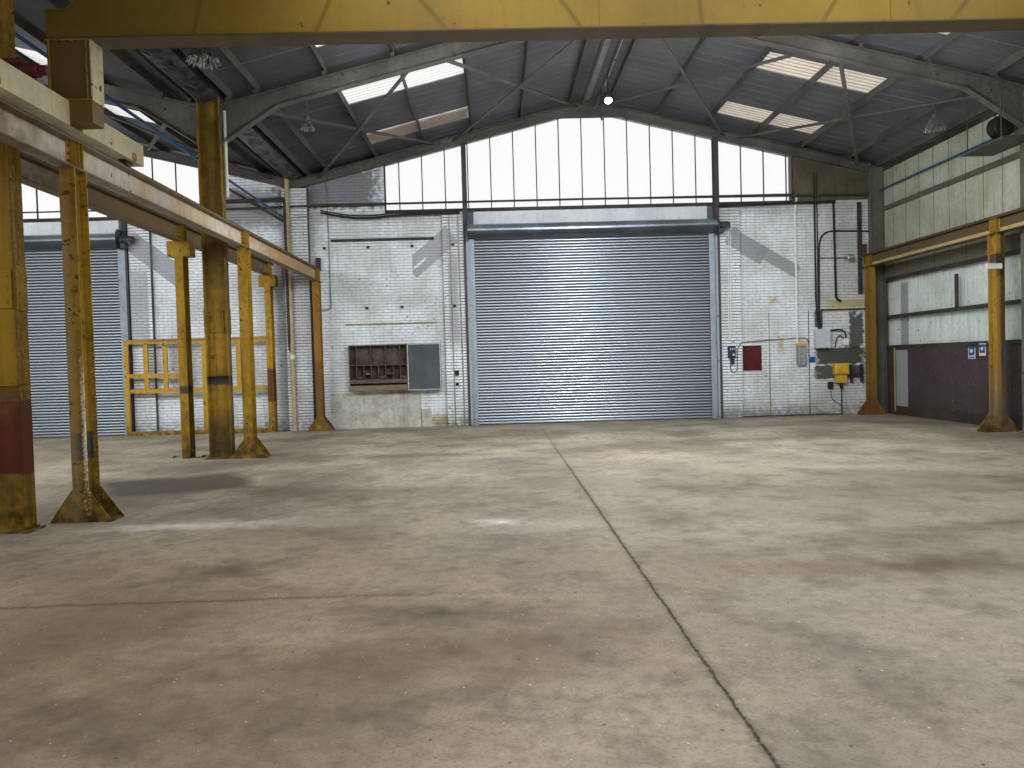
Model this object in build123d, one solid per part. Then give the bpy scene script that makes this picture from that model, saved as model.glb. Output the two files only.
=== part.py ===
from build123d import *
import math
import os

# A two-nave factory shed: steel portal frames on a 6.096 m bay, brick gables,
# clad side walls, corrugated roofs, crane runways and one overhead travelling crane.
# +Y runs along the naves to the far gable, +X is to the right of someone looking that
# way, the valley between the naves is X = 0, and Z = 0 is the ground.

# Main grid
nave_width = 15240
bay = 6096
bay_count = 5
floor_top = 150
roof_pitch = 13.8
rafter_height = 6450

# Gable walls
gable_thickness = 343
wall_column_gap = 30
lining_thickness = 15
sheeting_rail_depth = 125
cladding_thickness = 50

# Doors and gable windows
door_half_width = 3050
door_height = 4950
lintel_height = 600
window_half_width = 5340
glass_thickness = 12
glass_setback = 60
sill_height = 50
sill_projection = 40

# Derived grid
nave_half = nave_width / 2
wall_column_outer = nave_half + wall_column_gap
rafter_line_at_valley = floor_top + rafter_height
door_head = floor_top + door_height
window_sill = door_head + lintel_height
building_half_length = bay * bay_count / 2
gable_inner = building_half_length - gable_thickness / 2
gable_outer = gable_inner + gable_thickness
cladding_inner = wall_column_outer + lining_thickness + sheeting_rail_depth
cladding_outer = cladding_inner + cladding_thickness
slope = math.tan(math.radians(roof_pitch))
slope_cosine = math.cos(math.radians(roof_pitch))
main_centre = nave_half
side_centre = -nave_half
nave_centres = (main_centre, side_centre)
ends = (1, -1)
frame_lines = [(i - (bay_count - 2) / 2) * bay for i in range(bay_count - 1)]

# Brick piers
pilaster_half_width = 320
pilaster_projection = 200
door_pier_width = 550
door_pier_projection = 110

# Steel frame
stanchion_depth = 406
stanchion_width = 178
column_depth = 356
column_width = 171
rafter_depth = 290
rafter_width = 152
cleat_height = 90
cleat_length = 100
gable_rafter_depth = 220
web_thickness = 10
flange_thickness = 16
haunch_length = 1050
haunch_foot_drop = 760
ridge_gusset = 900
base_plate_thickness = 20
base_plate_margin = 60
gable_post_width = 120

# Purlins, sheets and gutters
purlin_pitch = 1250
purlin_first = 500
purlin_count = 6
purlin_width = 65
purlin_depth = 150
purlin_thickness = 12
sheet_thickness = 50
verge_overhang = 40
verge_board_thickness = 25
verge_board_drop = 150
verge_joint = 10
eaves_overhang = 60
valley_gutter_half_width = 240
valley_gutter_height = 130
gutter_wall = 6
valley_sheet_overhang = 100
eaves_gutter_width = 150
eaves_gutter_height = 120
eaves_gutter_drop = 15
downpipe_radius = 55
ridge_cap_reach = 300
ridge_cap_thickness = 15
rooflight_width = 900
rooflight_pitch = 2900
rooflight_from_gable = 1180
brace_width = 80
brace_depth = 30
brace_frame_drop = 240
brace_gable_drop = 60
brace_eaves_offset = 7000
brace_middle_offset = 3700
brace_middle_gap = 200
brace_ridge_offset = 300

# Side walls
kerb_height = 230
dado_height = 1700
rail_height = 80
middle_rail_height = 2480
upper_rail_height = 3460
soffit_rail_drop = 1000
eaves_rail_drop = 190
upper_lining_drop = 110

# Crane runways
runway_height = 3820
runway_foot_gap = 2
runway_wall_gap = 144
runway_brick_gap = 11
runway_post_width = 165
runway_post_depth = 254
runway_foot_width = 650
runway_foot_height = 360
runway_foot_plate = 12
runway_beam_depth = 310
runway_beam_width = 165
crane_rail_size = 50
runway_far_gap = 30
runway_near_overhang = 250
left_post_pitch = 5600
right_post_pitch = 5000
post_end_room = 1000
end_stop_length = 60
end_stop_height = 320
end_stop_width = 120
side_valley_gap = 497
side_wall_gap = 374
side_post_width = 150
side_post_pitch = 5400
side_first_post_from_gable = 300
side_post_height = 3720
side_head_width = 420
side_head_height = 280

# Travelling crane
crane_line = 3420
crane_girder_depth = 520
crane_girder_width = 300
crane_end_depth = 310
crane_end_flat = 220
crane_end_taper = 260
crane_web_spacing = 240
crane_plate = 16
crane_girder_end = 100
carriage_width = 220
carriage_length = 3140
carriage_height = 260
carriage_lift = 50
stool_width = 460
stool_height = 640
wheel_radius = 100
wheel_flange = 14
wheel_flange_width = 12
wheel_side_play = 5
wheel_inset = 260
wheel_pocket_gap = 12
axle_radius = 25
running_gap = 0.3

# Roller shutters
guide_width = 150
guide_depth = 120
guide_plate = 6
curtain_thickness = 20
curtain_set = 50
curtain_side_play = 8
barrel_radius = 210
barrel_rise = 90
barrel_end_plate = 10
barrel_plate_half = 250
motor_radius = 110
motor_length = 340

# Guard fence
fence_bar = 110
fence_thickness = 50
fence_height = 2450
fence_low_rail = 1080
fence_middle_rail = 1470
fence_pitch = 490
fence_close_bays = 4

# Levels that follow from the rest
haunch_foot = rafter_line_at_valley - haunch_foot_drop
dado_top = floor_top + dado_height
upper_lining_foot = floor_top + upper_rail_height + rail_height
upper_lining_top = rafter_line_at_valley - upper_lining_drop
rail_feet = (
    dado_top, floor_top + middle_rail_height, floor_top + upper_rail_height,
    rafter_line_at_valley - soffit_rail_drop, rafter_line_at_valley - eaves_rail_drop,
)
runway_beam_bottom = floor_top + runway_height
side_post_top = floor_top + side_post_height
side_beam_bottom = side_post_top + side_head_height
barrel_centre_height = door_head + barrel_rise
wall_line = nave_half + wall_column_outer
pier_far = door_half_width + guide_width + gable_post_width + door_pier_width


def box(x_low, x_high, y_low, y_high, z_low, z_high):
    """A block between two corners."""
    centre = Vector((x_low + x_high) / 2, (y_low + y_high) / 2, (z_low + z_high) / 2)
    size = (x_high - x_low, y_high - y_low, z_high - z_low)
    return Solid.make_box(*size).translate(centre - Vector(*size) / 2)


def prism(corners, direction):
    """A flat outline of 3-D corners pushed along a direction."""
    outline = Wire.make_polygon([Vector(*corner) for corner in corners], close=True)
    return Solid.extrude(Face(outline), Vector(*direction))


def prism_along_y(outline, y_low, y_high):
    """An outline of (x, z) points pushed from one Y to another."""
    return prism([(x, y_low, z) for x, z in outline], (0, y_high - y_low, 0))


def prism_along_z(outline, z_low, z_high):
    """An outline of (x, y) points pushed from one height to another."""
    return prism([(x, y, z_low) for x, y in outline], (0, 0, z_high - z_low))


def fuse(pieces):
    """Join pieces that touch into one solid."""
    joined = pieces[0].fuse(*pieces[1:]).clean()
    return joined.solids()[0]


def save(name, solids):
    """Write one node, as one solid or as solids that do not touch."""
    shape = solids[0] if len(solids) == 1 else Compound(children=solids)
    shape.label = name
    export_step(shape, f"parts/{name}.step")


def rafter_top(offset):
    """Height of the top of the rafters at an offset from a nave's centre."""
    return rafter_line_at_valley + (nave_half - offset) * slope


def sheet_bottom(offset):
    """Height of the underside of the roof sheets at an offset from a nave's centre."""
    return rafter_top(offset) + purlin_depth / slope_cosine


def sloped_band(centre, side, near, far, low, high, y_low, y_high):
    """A strip parallel to a roof slope, low and high measured from the rafter top."""
    outline = [
        (centre + side * near, rafter_top(near) + low),
        (centre + side * far, rafter_top(far) + low),
        (centre + side * far, rafter_top(far) + high),
        (centre + side * near, rafter_top(near) + high),
    ]
    return prism_along_y(outline, y_low, y_high)


def i_section(depth, width, web, flange):
    """Corners of an I section about its centre, its depth along the first axis."""
    x = depth / 2
    y = width / 2
    half_web = web / 2
    inner = x - flange
    return [
        (-x, -y), (-inner, -y), (-inner, -half_web), (inner, -half_web), (inner, -y), (x, -y),
        (x, y), (inner, y), (inner, half_web), (-inner, half_web), (-inner, y), (-x, y),
    ]


def post(x, y, depth, width, z_low, z_high, depth_along_x=True):
    """An upright I section."""
    outline = i_section(depth, width, web_thickness, flange_thickness)
    if not depth_along_x:
        outline = [(b, -a) for a, b in outline]
    return prism_along_z([(x + a, y + b) for a, b in outline], z_low, z_high)


# Floor
def floor_slab():
    reach = nave_half + cladding_outer
    return [box(-reach, reach, -gable_outer, gable_outer, 0, floor_top)]


# Brick gables
def gable_panel_outlines():
    """Outer panel of the main nave, panel between the doors, outer panel of the side nave."""
    outer = nave_half + cladding_inner
    door_near = nave_half - door_half_width
    door_far = nave_half + door_half_width
    glass_near = nave_half - window_half_width
    glass_far = nave_half + window_half_width
    gutter = valley_gutter_half_width
    seat = rafter_top(nave_half - gutter)
    window_edge_top = rafter_top(window_half_width)
    right = [
        (door_far, floor_top), (outer, floor_top), (outer, rafter_top(cladding_inner)),
        (glass_far, window_edge_top), (glass_far, window_sill), (door_far, window_sill),
    ]
    middle = [
        (-door_near, floor_top), (door_near, floor_top), (door_near, window_sill),
        (glass_near, window_sill), (glass_near, window_edge_top), (gutter, seat),
        (-gutter, seat), (-glass_near, window_edge_top), (-glass_near, window_sill),
        (-door_near, window_sill),
    ]
    left = [(-x, z) for x, z in right]
    return right, middle, left


def gable_wall(end):
    """Three brick panels, with a pilaster under the valley and piers beside the doors."""
    inner = end * gable_inner
    outer = end * gable_outer
    solids = []
    for index, outline in enumerate(gable_panel_outlines()):
        panel = prism_along_y(outline, min(inner, outer), max(inner, outer))
        extras = []
        if index == 1:
            face = inner - end * pilaster_projection
            top = rafter_top(nave_half) - gable_rafter_depth / slope_cosine
            extras.append(box(-pilaster_half_width, pilaster_half_width,
                              min(inner, face), max(inner, face), floor_top, top))
        pier_near = pier_far - door_pier_width
        face = inner - end * door_pier_projection
        sides = {0: [(main_centre, 1)], 1: [(main_centre, -1), (side_centre, 1)], 2: [(side_centre, -1)]}
        for centre, side in sides[index]:
            edges = sorted((centre + side * pier_near, centre + side * pier_far))
            extras.append(box(*edges, min(inner, face), max(inner, face), floor_top, window_sill))
        solids.append(fuse([panel] + extras))
    return solids


def door_lintels():
    solids = []
    for end in ends:
        low, high = sorted((end * gable_inner, end * gable_outer))
        for centre in nave_centres:
            left = centre - door_half_width
            right = centre + door_half_width
            solids.append(box(left, right, low, high, door_head, window_sill))
    return solids


def gable_posts():
    """Steel posts beside each door, from the floor to the gable rafter."""
    solids = []
    near = door_half_width + guide_width
    far = near + gable_post_width
    under = gable_rafter_depth / slope_cosine
    for end in ends:
        low, high = sorted((end * gable_inner, end * (gable_inner - rafter_width)))
        for centre in nave_centres:
            for side in (1, -1):
                outline = [
                    (centre + side * near, floor_top), (centre + side * far, floor_top),
                    (centre + side * far, rafter_top(far) - under),
                    (centre + side * near, rafter_top(near) - under),
                ]
                solids.append(prism_along_y(outline, low, high))
    return solids


def gable_glazing():
    """One glazed screen over each door, up to the line of the rafters."""
    solids = []
    for end in ends:
        front = end * (gable_inner + glass_setback)
        back = front + end * glass_thickness
        for centre in nave_centres:
            half = window_half_width
            foot = window_sill + sill_height
            outline = [
                (centre - half, foot), (centre + half, foot),
                (centre + half, rafter_top(half)), (centre, rafter_top(0)),
                (centre - half, rafter_top(half)),
            ]
            solids.append(prism_along_y(outline, min(front, back), max(front, back)))
    return solids


def gable_sills():
    solids = []
    for end in ends:
        low, high = sorted((end * gable_inner, end * (gable_outer + sill_projection)))
        for centre in nave_centres:
            half = window_half_width
            solids.append(box(centre - half, centre + half, low, high,
                              window_sill, window_sill + sill_height))
    return solids


# Roller shutters
def shutter_guides():
    """Upright channels on the inner face of the wall, open towards the curtain."""
    solids = []
    for end in ends:
        for centre in nave_centres:
            for side in (1, -1):
                near = door_half_width
                far = near + guide_width
                deep = gable_inner - guide_depth
                outline = [
                    (near, gable_inner), (far, gable_inner), (far, deep), (near, deep),
                    (near, deep + guide_plate), (far - guide_plate, deep + guide_plate),
                    (far - guide_plate, gable_inner - guide_plate), (near, gable_inner - guide_plate),
                ]
                placed = [(centre + side * x, end * y) for x, y in outline]
                solids.append(prism_along_z(placed, floor_top, door_head - guide_depth))
    return solids


def shutter_curtains():
    """Closed curtains of interlocking laths, running in the guides and up behind the barrel."""
    solids = []
    half = door_half_width + guide_width - guide_plate - curtain_side_play
    for end in ends:
        back = end * (gable_inner - curtain_set)
        front = back - end * curtain_thickness
        for centre in nave_centres:
            solids.append(box(centre - half, centre + half, min(back, front), max(back, front),
                              floor_top, barrel_centre_height))
    return solids


def shutter_barrels():
    """The rolled part on its barrel, its end plates and the drive at one end."""
    solids = []
    half = door_half_width + guide_width
    for end in ends:
        line = end * (gable_inner - curtain_set - curtain_thickness - barrel_radius)
        plate_back = end * (gable_inner - rafter_width)
        plate_front = line - end * barrel_plate_half
        for centre in nave_centres:
            pieces = [cylinder_along_x(centre - half, centre + half, line,
                                       barrel_centre_height, barrel_radius)]
            for side in (1, -1):
                edge = centre + side * half
                outside = edge + side * barrel_end_plate
                pieces.append(box(min(edge, outside), max(edge, outside),
                                  min(plate_back, plate_front), max(plate_back, plate_front),
                                  barrel_centre_height - barrel_plate_half,
                                  barrel_centre_height + barrel_plate_half))
            drive = centre + end * (half + barrel_end_plate)
            drive_end = drive + end * motor_length
            pieces.append(cylinder_along_x(min(drive, drive_end), max(drive, drive_end), line,
                                           barrel_centre_height, motor_radius))
            solids.append(fuse(pieces))
    return solids


def cylinder_along_x(x_low, x_high, y, z, radius):
    plane = Plane(origin=(x_low, y, z), x_dir=(0, 1, 0), z_dir=(1, 0, 0))
    return Solid.make_cylinder(radius, x_high - x_low, plane)


# Side walls
def wall_cladding():
    """Outer profiled sheets of both side walls."""
    solids = []
    near = nave_half + cladding_inner
    far = nave_half + cladding_outer
    for side in (1, -1):
        outline = [
            (side * near, floor_top), (side * far, floor_top),
            (side * far, sheet_bottom(cladding_outer)), (side * near, sheet_bottom(cladding_inner)),
        ]
        solids.append(prism_along_y(outline, -gable_outer, gable_outer))
    return solids


def sheeting_rails():
    solids = []
    near = nave_half + wall_column_outer + lining_thickness
    far = nave_half + cladding_inner
    for side in (1, -1):
        for foot in rail_feet:
            edges = sorted((side * near, side * far))
            solids.append(box(*edges, -gable_inner, gable_inner, foot, foot + rail_height))
    return solids


def wall_kerbs():
    solids = []
    for side in (1, -1):
        edges = sorted((side * (nave_half + wall_column_outer), side * (nave_half + cladding_inner)))
        solids.append(box(*edges, -gable_inner, gable_inner, floor_top, floor_top + kerb_height))
    return solids


def wall_linings(low, high):
    """Flat boards on the inner face of the sheeting rails."""
    solids = []
    near = nave_half + wall_column_outer
    for side in (1, -1):
        edges = sorted((side * near, side * (near + lining_thickness)))
        solids.append(box(*edges, -gable_inner, gable_inner, low, high))
    return solids


# Steel frame
def wall_columns():
    """Columns of the outer walls, with the gable ones against the brick."""
    solids = []
    end_line = gable_inner - column_width / 2
    top = rafter_top(wall_column_outer)
    reach = column_depth / 2
    for side in (1, -1):
        centre = side * (nave_half + wall_column_outer - reach)
        for y in [-end_line] + frame_lines + [end_line]:
            shaft = post(centre, y, column_depth, column_width, floor_top, top)
            deep = column_width / 2 + (base_plate_margin if abs(y) < end_line else 0)
            plate = box(centre - reach, centre + reach, y - deep, y + deep,
                        floor_top, floor_top + base_plate_thickness)
            solids.append(fuse([shaft, plate]))
    return solids


def valley_stanchions():
    """Shared stanchions under the valley, one a frame, set into the floor."""
    top = rafter_top(nave_half - valley_gutter_half_width)
    return [post(0, y, stanchion_depth, stanchion_width, floor_top, top) for y in frame_lines]


def portal_rafter(centre, side, foot, y):
    """One leg of a portal: its haunch, its ridge gusset and the cleats that carry the purlins."""
    drop = cleat_height / slope_cosine
    deep = (cleat_height + rafter_depth) / slope_cosine
    flange = flange_thickness / slope_cosine
    tip = foot - haunch_length
    half = rafter_width / 2
    half_web = web_thickness / 2
    gusset_foot = rafter_top(ridge_gusset) - deep
    low_line = [
        (foot, haunch_foot), (tip, rafter_top(tip) - deep), (ridge_gusset, gusset_foot), (0, gusset_foot),
    ]
    web = [(0, rafter_top(0) - drop), (foot, rafter_top(foot) - drop)] + low_line
    low_flange = low_line + [(x, z + flange) for x, z in reversed(low_line)]
    pieces = [sloped_band(centre, side, 0, foot, -drop - flange, -drop, y - half, y + half)]
    for outline, reach in ((web, half_web), (low_flange, half)):
        placed = [(centre + side * x, z) for x, z in outline]
        pieces.append(prism_along_y(placed, y - reach, y + reach))
    for offset in purlin_offsets(False):
        if offset + purlin_width < foot:
            pieces.append(sloped_band(centre, side, offset, offset + purlin_width, -drop, 0,
                                      y - cleat_length / 2, y + cleat_length / 2))
    return fuse(pieces)


def gable_rafter(centre, side, foot, end):
    """The lighter rafter on the inner face of a gable."""
    deep = gable_rafter_depth / slope_cosine
    flange = flange_thickness / slope_cosine
    low, high = sorted((end * gable_inner, end * (gable_inner - rafter_width)))
    middle = (low + high) / 2
    half_web = web_thickness / 2
    gusset_foot = rafter_top(ridge_gusset) - deep
    web = [
        (0, rafter_top(0)), (foot, rafter_top(foot)), (foot, rafter_top(foot) - deep),
        (ridge_gusset, gusset_foot), (0, gusset_foot),
    ]
    placed = [(centre + side * x, z) for x, z in web]
    pieces = [
        prism_along_y(placed, middle - half_web, middle + half_web),
        sloped_band(centre, side, 0, foot, -flange, 0, low, high),
        sloped_band(centre, side, ridge_gusset, foot, -deep, flange - deep, low, high),
    ]
    return fuse(pieces)


def rafters(centre, side):
    outer_side = 1 if centre > 0 else -1
    at_wall = side == outer_side
    foot = wall_column_outer - column_depth if at_wall else nave_half - stanchion_depth / 2
    gable_foot = foot if at_wall else nave_half
    first = portal_rafter(centre, side, foot, 0)
    solids = [first.translate(Vector(0, y, 0)) for y in frame_lines]
    solids += [gable_rafter(centre, side, gable_foot, end) for end in ends]
    return solids


def purlin_offsets(at_wall):
    """Offsets of the lower edge of each purlin from a nave's centre."""
    offsets = [purlin_first + purlin_pitch * index for index in range(purlin_count)]
    last = nave_half if at_wall else nave_half - valley_gutter_half_width - purlin_width
    return offsets + [last - purlin_width]


def angle_purlin(centre, side, offset):
    """An angle section: an upright leg on the cleats and a flat leg under the sheets."""
    inner = offset + purlin_thickness
    far = offset + purlin_width
    high = purlin_depth / slope_cosine
    under = (purlin_depth - purlin_thickness) / slope_cosine
    outline = [
        (offset, rafter_top(offset)), (inner, rafter_top(inner)), (inner, rafter_top(inner) + under),
        (far, rafter_top(far) + under), (far, rafter_top(far) + high), (offset, rafter_top(offset) + high),
    ]
    return prism_along_y([(centre + side * x, z) for x, z in outline], -gable_outer, gable_outer)


def purlins(centre):
    outer_side = 1 if centre > 0 else -1
    return [
        angle_purlin(centre, side, offset)
        for side in (1, -1) for offset in purlin_offsets(side == outer_side)
    ]


# Roof covering
def lines_from_far_gable(first_gap, pitch, end_room):
    """Places along Y at an even pitch, as many as leave room at the near gable."""
    count = math.floor((2 * gable_inner - first_gap - end_room) / pitch) + 1
    return [gable_inner - first_gap - index * pitch for index in range(count)]


def rooflight_lines():
    return lines_from_far_gable(rooflight_from_gable, rooflight_pitch, rooflight_width)


def rooflight_panel(centre, side, y):
    near = purlin_first + 2 * purlin_pitch + purlin_width / 2
    far = near + 2 * purlin_pitch
    low = purlin_depth / slope_cosine
    high = low + sheet_thickness / slope_cosine
    return sloped_band(centre, side, near, far, low, high, y - rooflight_width / 2, y + rooflight_width / 2)


def roof_slope(centre, side):
    outer_side = 1 if centre > 0 else -1
    far = cladding_outer + eaves_overhang if side == outer_side else nave_half - valley_sheet_overhang
    low = purlin_depth / slope_cosine
    high = low + sheet_thickness / slope_cosine
    reach = gable_outer + verge_overhang
    sheet = sloped_band(centre, side, 0, far, low, high, -reach, reach)
    holes = [rooflight_panel(centre, side, y) for y in rooflight_lines()]
    return [sheet.cut(*holes).solids()[0]]


def rooflights():
    return [
        rooflight_panel(centre, side, y)
        for centre in nave_centres for side in (1, -1) for y in rooflight_lines()
    ]


def ridge_cappings():
    solids = []
    high = (purlin_depth + sheet_thickness) / slope_cosine
    reach = gable_outer + verge_overhang
    for centre in nave_centres:
        halves = [
            sloped_band(centre, side, 0, ridge_cap_reach, high, high + ridge_cap_thickness, -reach, reach)
            for side in (1, -1)
        ]
        solids.append(fuse(halves))
    return solids


def verge_boards():
    solids = []
    for end in ends:
        low, high = sorted((end * gable_outer, end * (gable_outer + verge_board_thickness)))
        for centre in nave_centres:
            outer_side = 1 if centre > 0 else -1
            for side in (1, -1):
                far = cladding_outer if side == outer_side else nave_half - verge_joint
                solids.append(sloped_band(centre, side, verge_joint, far, -verge_board_drop,
                                          purlin_depth / slope_cosine, low, high))
    return solids


def channel(x_low, x_high, z_low, z_high, y_low, y_high):
    """An open gutter."""
    wall = gutter_wall
    outline = [
        (x_low, z_low), (x_high, z_low), (x_high, z_high), (x_high - wall, z_high),
        (x_high - wall, z_low + wall), (x_low + wall, z_low + wall), (x_low + wall, z_high), (x_low, z_high),
    ]
    return prism_along_y(outline, y_low, y_high)


def eaves_gutter_top():
    return sheet_bottom(cladding_outer + eaves_overhang) - eaves_gutter_drop


def gutters():
    """One gutter in the valley, on the stanchions, and one along each eaves."""
    half = valley_gutter_half_width
    seat = rafter_top(nave_half - half)
    solids = [channel(-half, half, seat, seat + valley_gutter_height, -gable_outer, gable_outer)]
    top = eaves_gutter_top()
    near = nave_half + cladding_outer
    reach = gable_outer + verge_overhang
    for side in (1, -1):
        edges = sorted((side * near, side * (near + eaves_gutter_width)))
        solids.append(channel(*edges, top - eaves_gutter_height, top, -reach, reach))
    return solids


def downpipes():
    """Outside pipes under the eaves gutters and inside ones under the valley gutter."""
    solids = []
    outside = nave_half + cladding_outer + downpipe_radius
    gutter_bottom = eaves_gutter_top() - eaves_gutter_height
    for side in (1, -1):
        for y in (frame_lines[0], frame_lines[-1]):
            plane = Plane(origin=(side * outside, y, 0))
            solids.append(Solid.make_cylinder(downpipe_radius, gutter_bottom, plane))
    seat = rafter_top(nave_half - valley_gutter_half_width)
    for end in ends:
        y = end * (gable_inner - pilaster_projection - downpipe_radius)
        plane = Plane(origin=(-pilaster_half_width / 2, y, floor_top))
        solids.append(Solid.make_cylinder(downpipe_radius, seat - floor_top, plane))
    return solids


def brace(centre, side, start_offset, end_offset, end, layer_drop):
    """One flat bar in an end bay, from the web of the last frame up to the gable rafter."""
    frame_face = frame_lines[-1] + web_thickness / 2
    gable_face = gable_inner - rafter_width / 2 - web_thickness / 2
    run = gable_face - frame_face
    half = brace_width / 2 * math.hypot(run, end_offset - start_offset) / run
    corners = []
    for offset, y, drop in (
        (start_offset - half, frame_face, brace_frame_drop),
        (start_offset + half, frame_face, brace_frame_drop),
        (end_offset + half, gable_face, brace_gable_drop),
        (end_offset - half, gable_face, brace_gable_drop),
    ):
        corners.append((centre + side * offset, end * y, rafter_top(offset) - drop - layer_drop))
    return prism(corners, (0, 0, -brace_depth))


def roof_braces(upper):
    """Crossed bars in two panels a slope: one layer of them, falling or rising."""
    solids = []
    layer_drop = 0 if upper else brace_depth
    panels = (
        (brace_eaves_offset, brace_middle_offset + brace_middle_gap),
        (brace_middle_offset - brace_middle_gap, brace_ridge_offset),
    )
    for end in ends:
        for centre in nave_centres:
            for side in (1, -1):
                for low_offset, high_offset in panels:
                    pair = (low_offset, high_offset) if upper else (high_offset, low_offset)
                    solids.append(brace(centre, side, *pair, end, layer_drop))
    return solids


# Crane runways
def footed_post(x, y):
    """A runway post with a flared foot."""
    top = runway_beam_bottom
    shaft = post(x, y, runway_post_depth, runway_post_width, floor_top, top, depth_along_x=False)
    half_foot = runway_foot_width / 2
    half_post = runway_post_width / 2
    half_deep = runway_post_depth / 2
    foot_low = floor_top + base_plate_thickness
    foot_high = floor_top + runway_foot_height
    pieces = [shaft]
    for side in (1, -1):
        edges = sorted((y + side * half_deep, y + side * (half_deep + runway_foot_plate)))
        outline = [
            (x - half_foot, foot_low), (x + half_foot, foot_low),
            (x + half_post, foot_high), (x - half_post, foot_high),
        ]
        pieces.append(prism_along_y(outline, *edges))
    deep = half_deep + runway_foot_plate
    pieces.append(box(x - half_foot, x + half_foot, y - deep, y + deep, floor_top, foot_low))
    return fuse(pieces)


def first_post_gap():
    """From the gable to the first posts, whose feet stand clear of the pilaster."""
    return pilaster_projection + runway_brick_gap + runway_foot_plate + runway_post_depth / 2


def left_post_lines():
    return lines_from_far_gable(first_post_gap(), left_post_pitch, post_end_room)


def right_post_lines():
    last = left_post_lines()[-1]
    lines = lines_from_far_gable(first_post_gap(), right_post_pitch, post_end_room)
    return [y for y in lines if y > last + post_end_room] + [last]


def side_post_lines():
    return lines_from_far_gable(side_first_post_from_gable, side_post_pitch, post_end_room)


def main_runway_lines():
    left = stanchion_depth / 2 + runway_foot_gap + runway_foot_width / 2
    return (left, wall_line - column_depth - runway_wall_gap)


def main_runway_posts():
    left, right = main_runway_lines()
    solids = [footed_post(left, y) for y in left_post_lines()]
    solids += [footed_post(right, y) for y in right_post_lines()]
    return solids


def side_runway_lines():
    return (-stanchion_depth / 2 - side_valley_gap, -(wall_line - column_depth - side_wall_gap))


def side_runway_posts():
    """Plain posts with a wider head that carries the beam."""
    solids = []
    for x in side_runway_lines():
        for y in side_post_lines():
            shaft = post(x, y, runway_post_depth, side_post_width, floor_top, side_post_top,
                         depth_along_x=False)
            half = side_head_width / 2
            deep = runway_post_depth / 2
            head = box(x - half, x + half, y - deep, y + deep, side_post_top, side_beam_bottom)
            solids.append(fuse([shaft, head]))
    return solids


def runway_spans():
    """Centre line, foot and length of each runway beam."""
    far = gable_inner - runway_far_gap
    main_near = left_post_lines()[-1] - runway_near_overhang
    side_near = side_post_lines()[-1] - runway_near_overhang
    spans = [(x, runway_beam_bottom, main_near, far) for x in main_runway_lines()]
    spans += [(x, side_beam_bottom, side_near, far) for x in side_runway_lines()]
    return spans


def runway_beams():
    solids = []
    outline = i_section(runway_beam_depth, runway_beam_width, web_thickness, flange_thickness)
    for x, foot, near, far in runway_spans():
        middle = foot + runway_beam_depth / 2
        solids.append(prism_along_y([(x + b, middle + a) for a, b in outline], near, far))
    return solids


def crane_rails():
    """Square rails between the end stops."""
    solids = []
    half = crane_rail_size / 2
    for x, foot, near, far in runway_spans():
        low = foot + runway_beam_depth
        solids.append(box(x - half, x + half, near + end_stop_length, far - end_stop_length,
                          low, low + crane_rail_size))
    return solids


def runway_end_stops():
    solids = []
    half = end_stop_width / 2
    for x, foot, near, far in runway_spans():
        low = foot + runway_beam_depth
        for start in (near, far - end_stop_length):
            solids.append(box(x - half, x + half, start, start + end_stop_length, low, low + end_stop_height))
    return solids


# Travelling crane
def crane_rail_top():
    return runway_beam_bottom + runway_beam_depth + crane_rail_size


def carriage_bottom():
    return crane_rail_top() + carriage_lift


def girder_bottom():
    return carriage_bottom() + carriage_height + stool_height


def crane_girder():
    """A box girder across the nave, cut down to a shallower end over each stool."""
    left = main_runway_lines()[0] - crane_girder_end
    right = main_runway_lines()[1] + crane_girder_end
    bottom = girder_bottom()
    top = bottom + crane_girder_depth
    end_top = bottom + crane_end_depth
    shoulder = crane_end_flat + crane_end_taper
    top_line = [
        (left, end_top), (left + crane_end_flat, end_top), (left + shoulder, top),
        (right - shoulder, top), (right - crane_end_flat, end_top), (right, end_top),
    ]
    top_plate = top_line + [(x, z - crane_plate) for x, z in reversed(top_line)]
    web = [(right, bottom), (left, bottom)] + top_line
    half = crane_girder_width / 2
    pieces = [
        box(left, right, crane_line - half, crane_line + half, bottom, bottom + crane_plate),
        prism_along_y(top_plate, crane_line - half, crane_line + half),
    ]
    for side in (1, -1):
        edges = sorted((crane_line + side * crane_web_spacing / 2,
                        crane_line + side * (crane_web_spacing / 2 - crane_plate)))
        pieces.append(prism_along_y(web, *edges))
    return [fuse(pieces)]


def crane_wheel_lines():
    reach = carriage_length / 2 - wheel_inset
    return (crane_line - reach, crane_line + reach)


def crane_end_carriages():
    solids = []
    low = carriage_bottom()
    high = low + carriage_height
    half_length = carriage_length / 2
    half = carriage_width / 2
    pocket_half_width = crane_rail_size / 2 + wheel_side_play + wheel_flange_width + wheel_pocket_gap
    pocket_half_length = wheel_radius + wheel_flange + wheel_pocket_gap
    pocket_top = crane_rail_top() + 2 * wheel_radius + wheel_flange + wheel_pocket_gap
    for side, x in zip((-1, 1), main_runway_lines()):
        beam = box(x - half, x + half, crane_line - half_length, crane_line + half_length, low, high)
        pockets = [
            box(x - pocket_half_width, x + pocket_half_width, y - pocket_half_length, y + pocket_half_length,
                low, pocket_top)
            for y in crane_wheel_lines()
        ]
        outer = x + side * crane_girder_end
        inner = outer - side * stool_width
        deep = crane_web_spacing / 2
        stool = box(min(outer, inner), max(outer, inner), crane_line - deep, crane_line + deep,
                    high, girder_bottom())
        solids.append(fuse([beam.cut(*pockets).solids()[0], stool]))
    return solids


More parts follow.
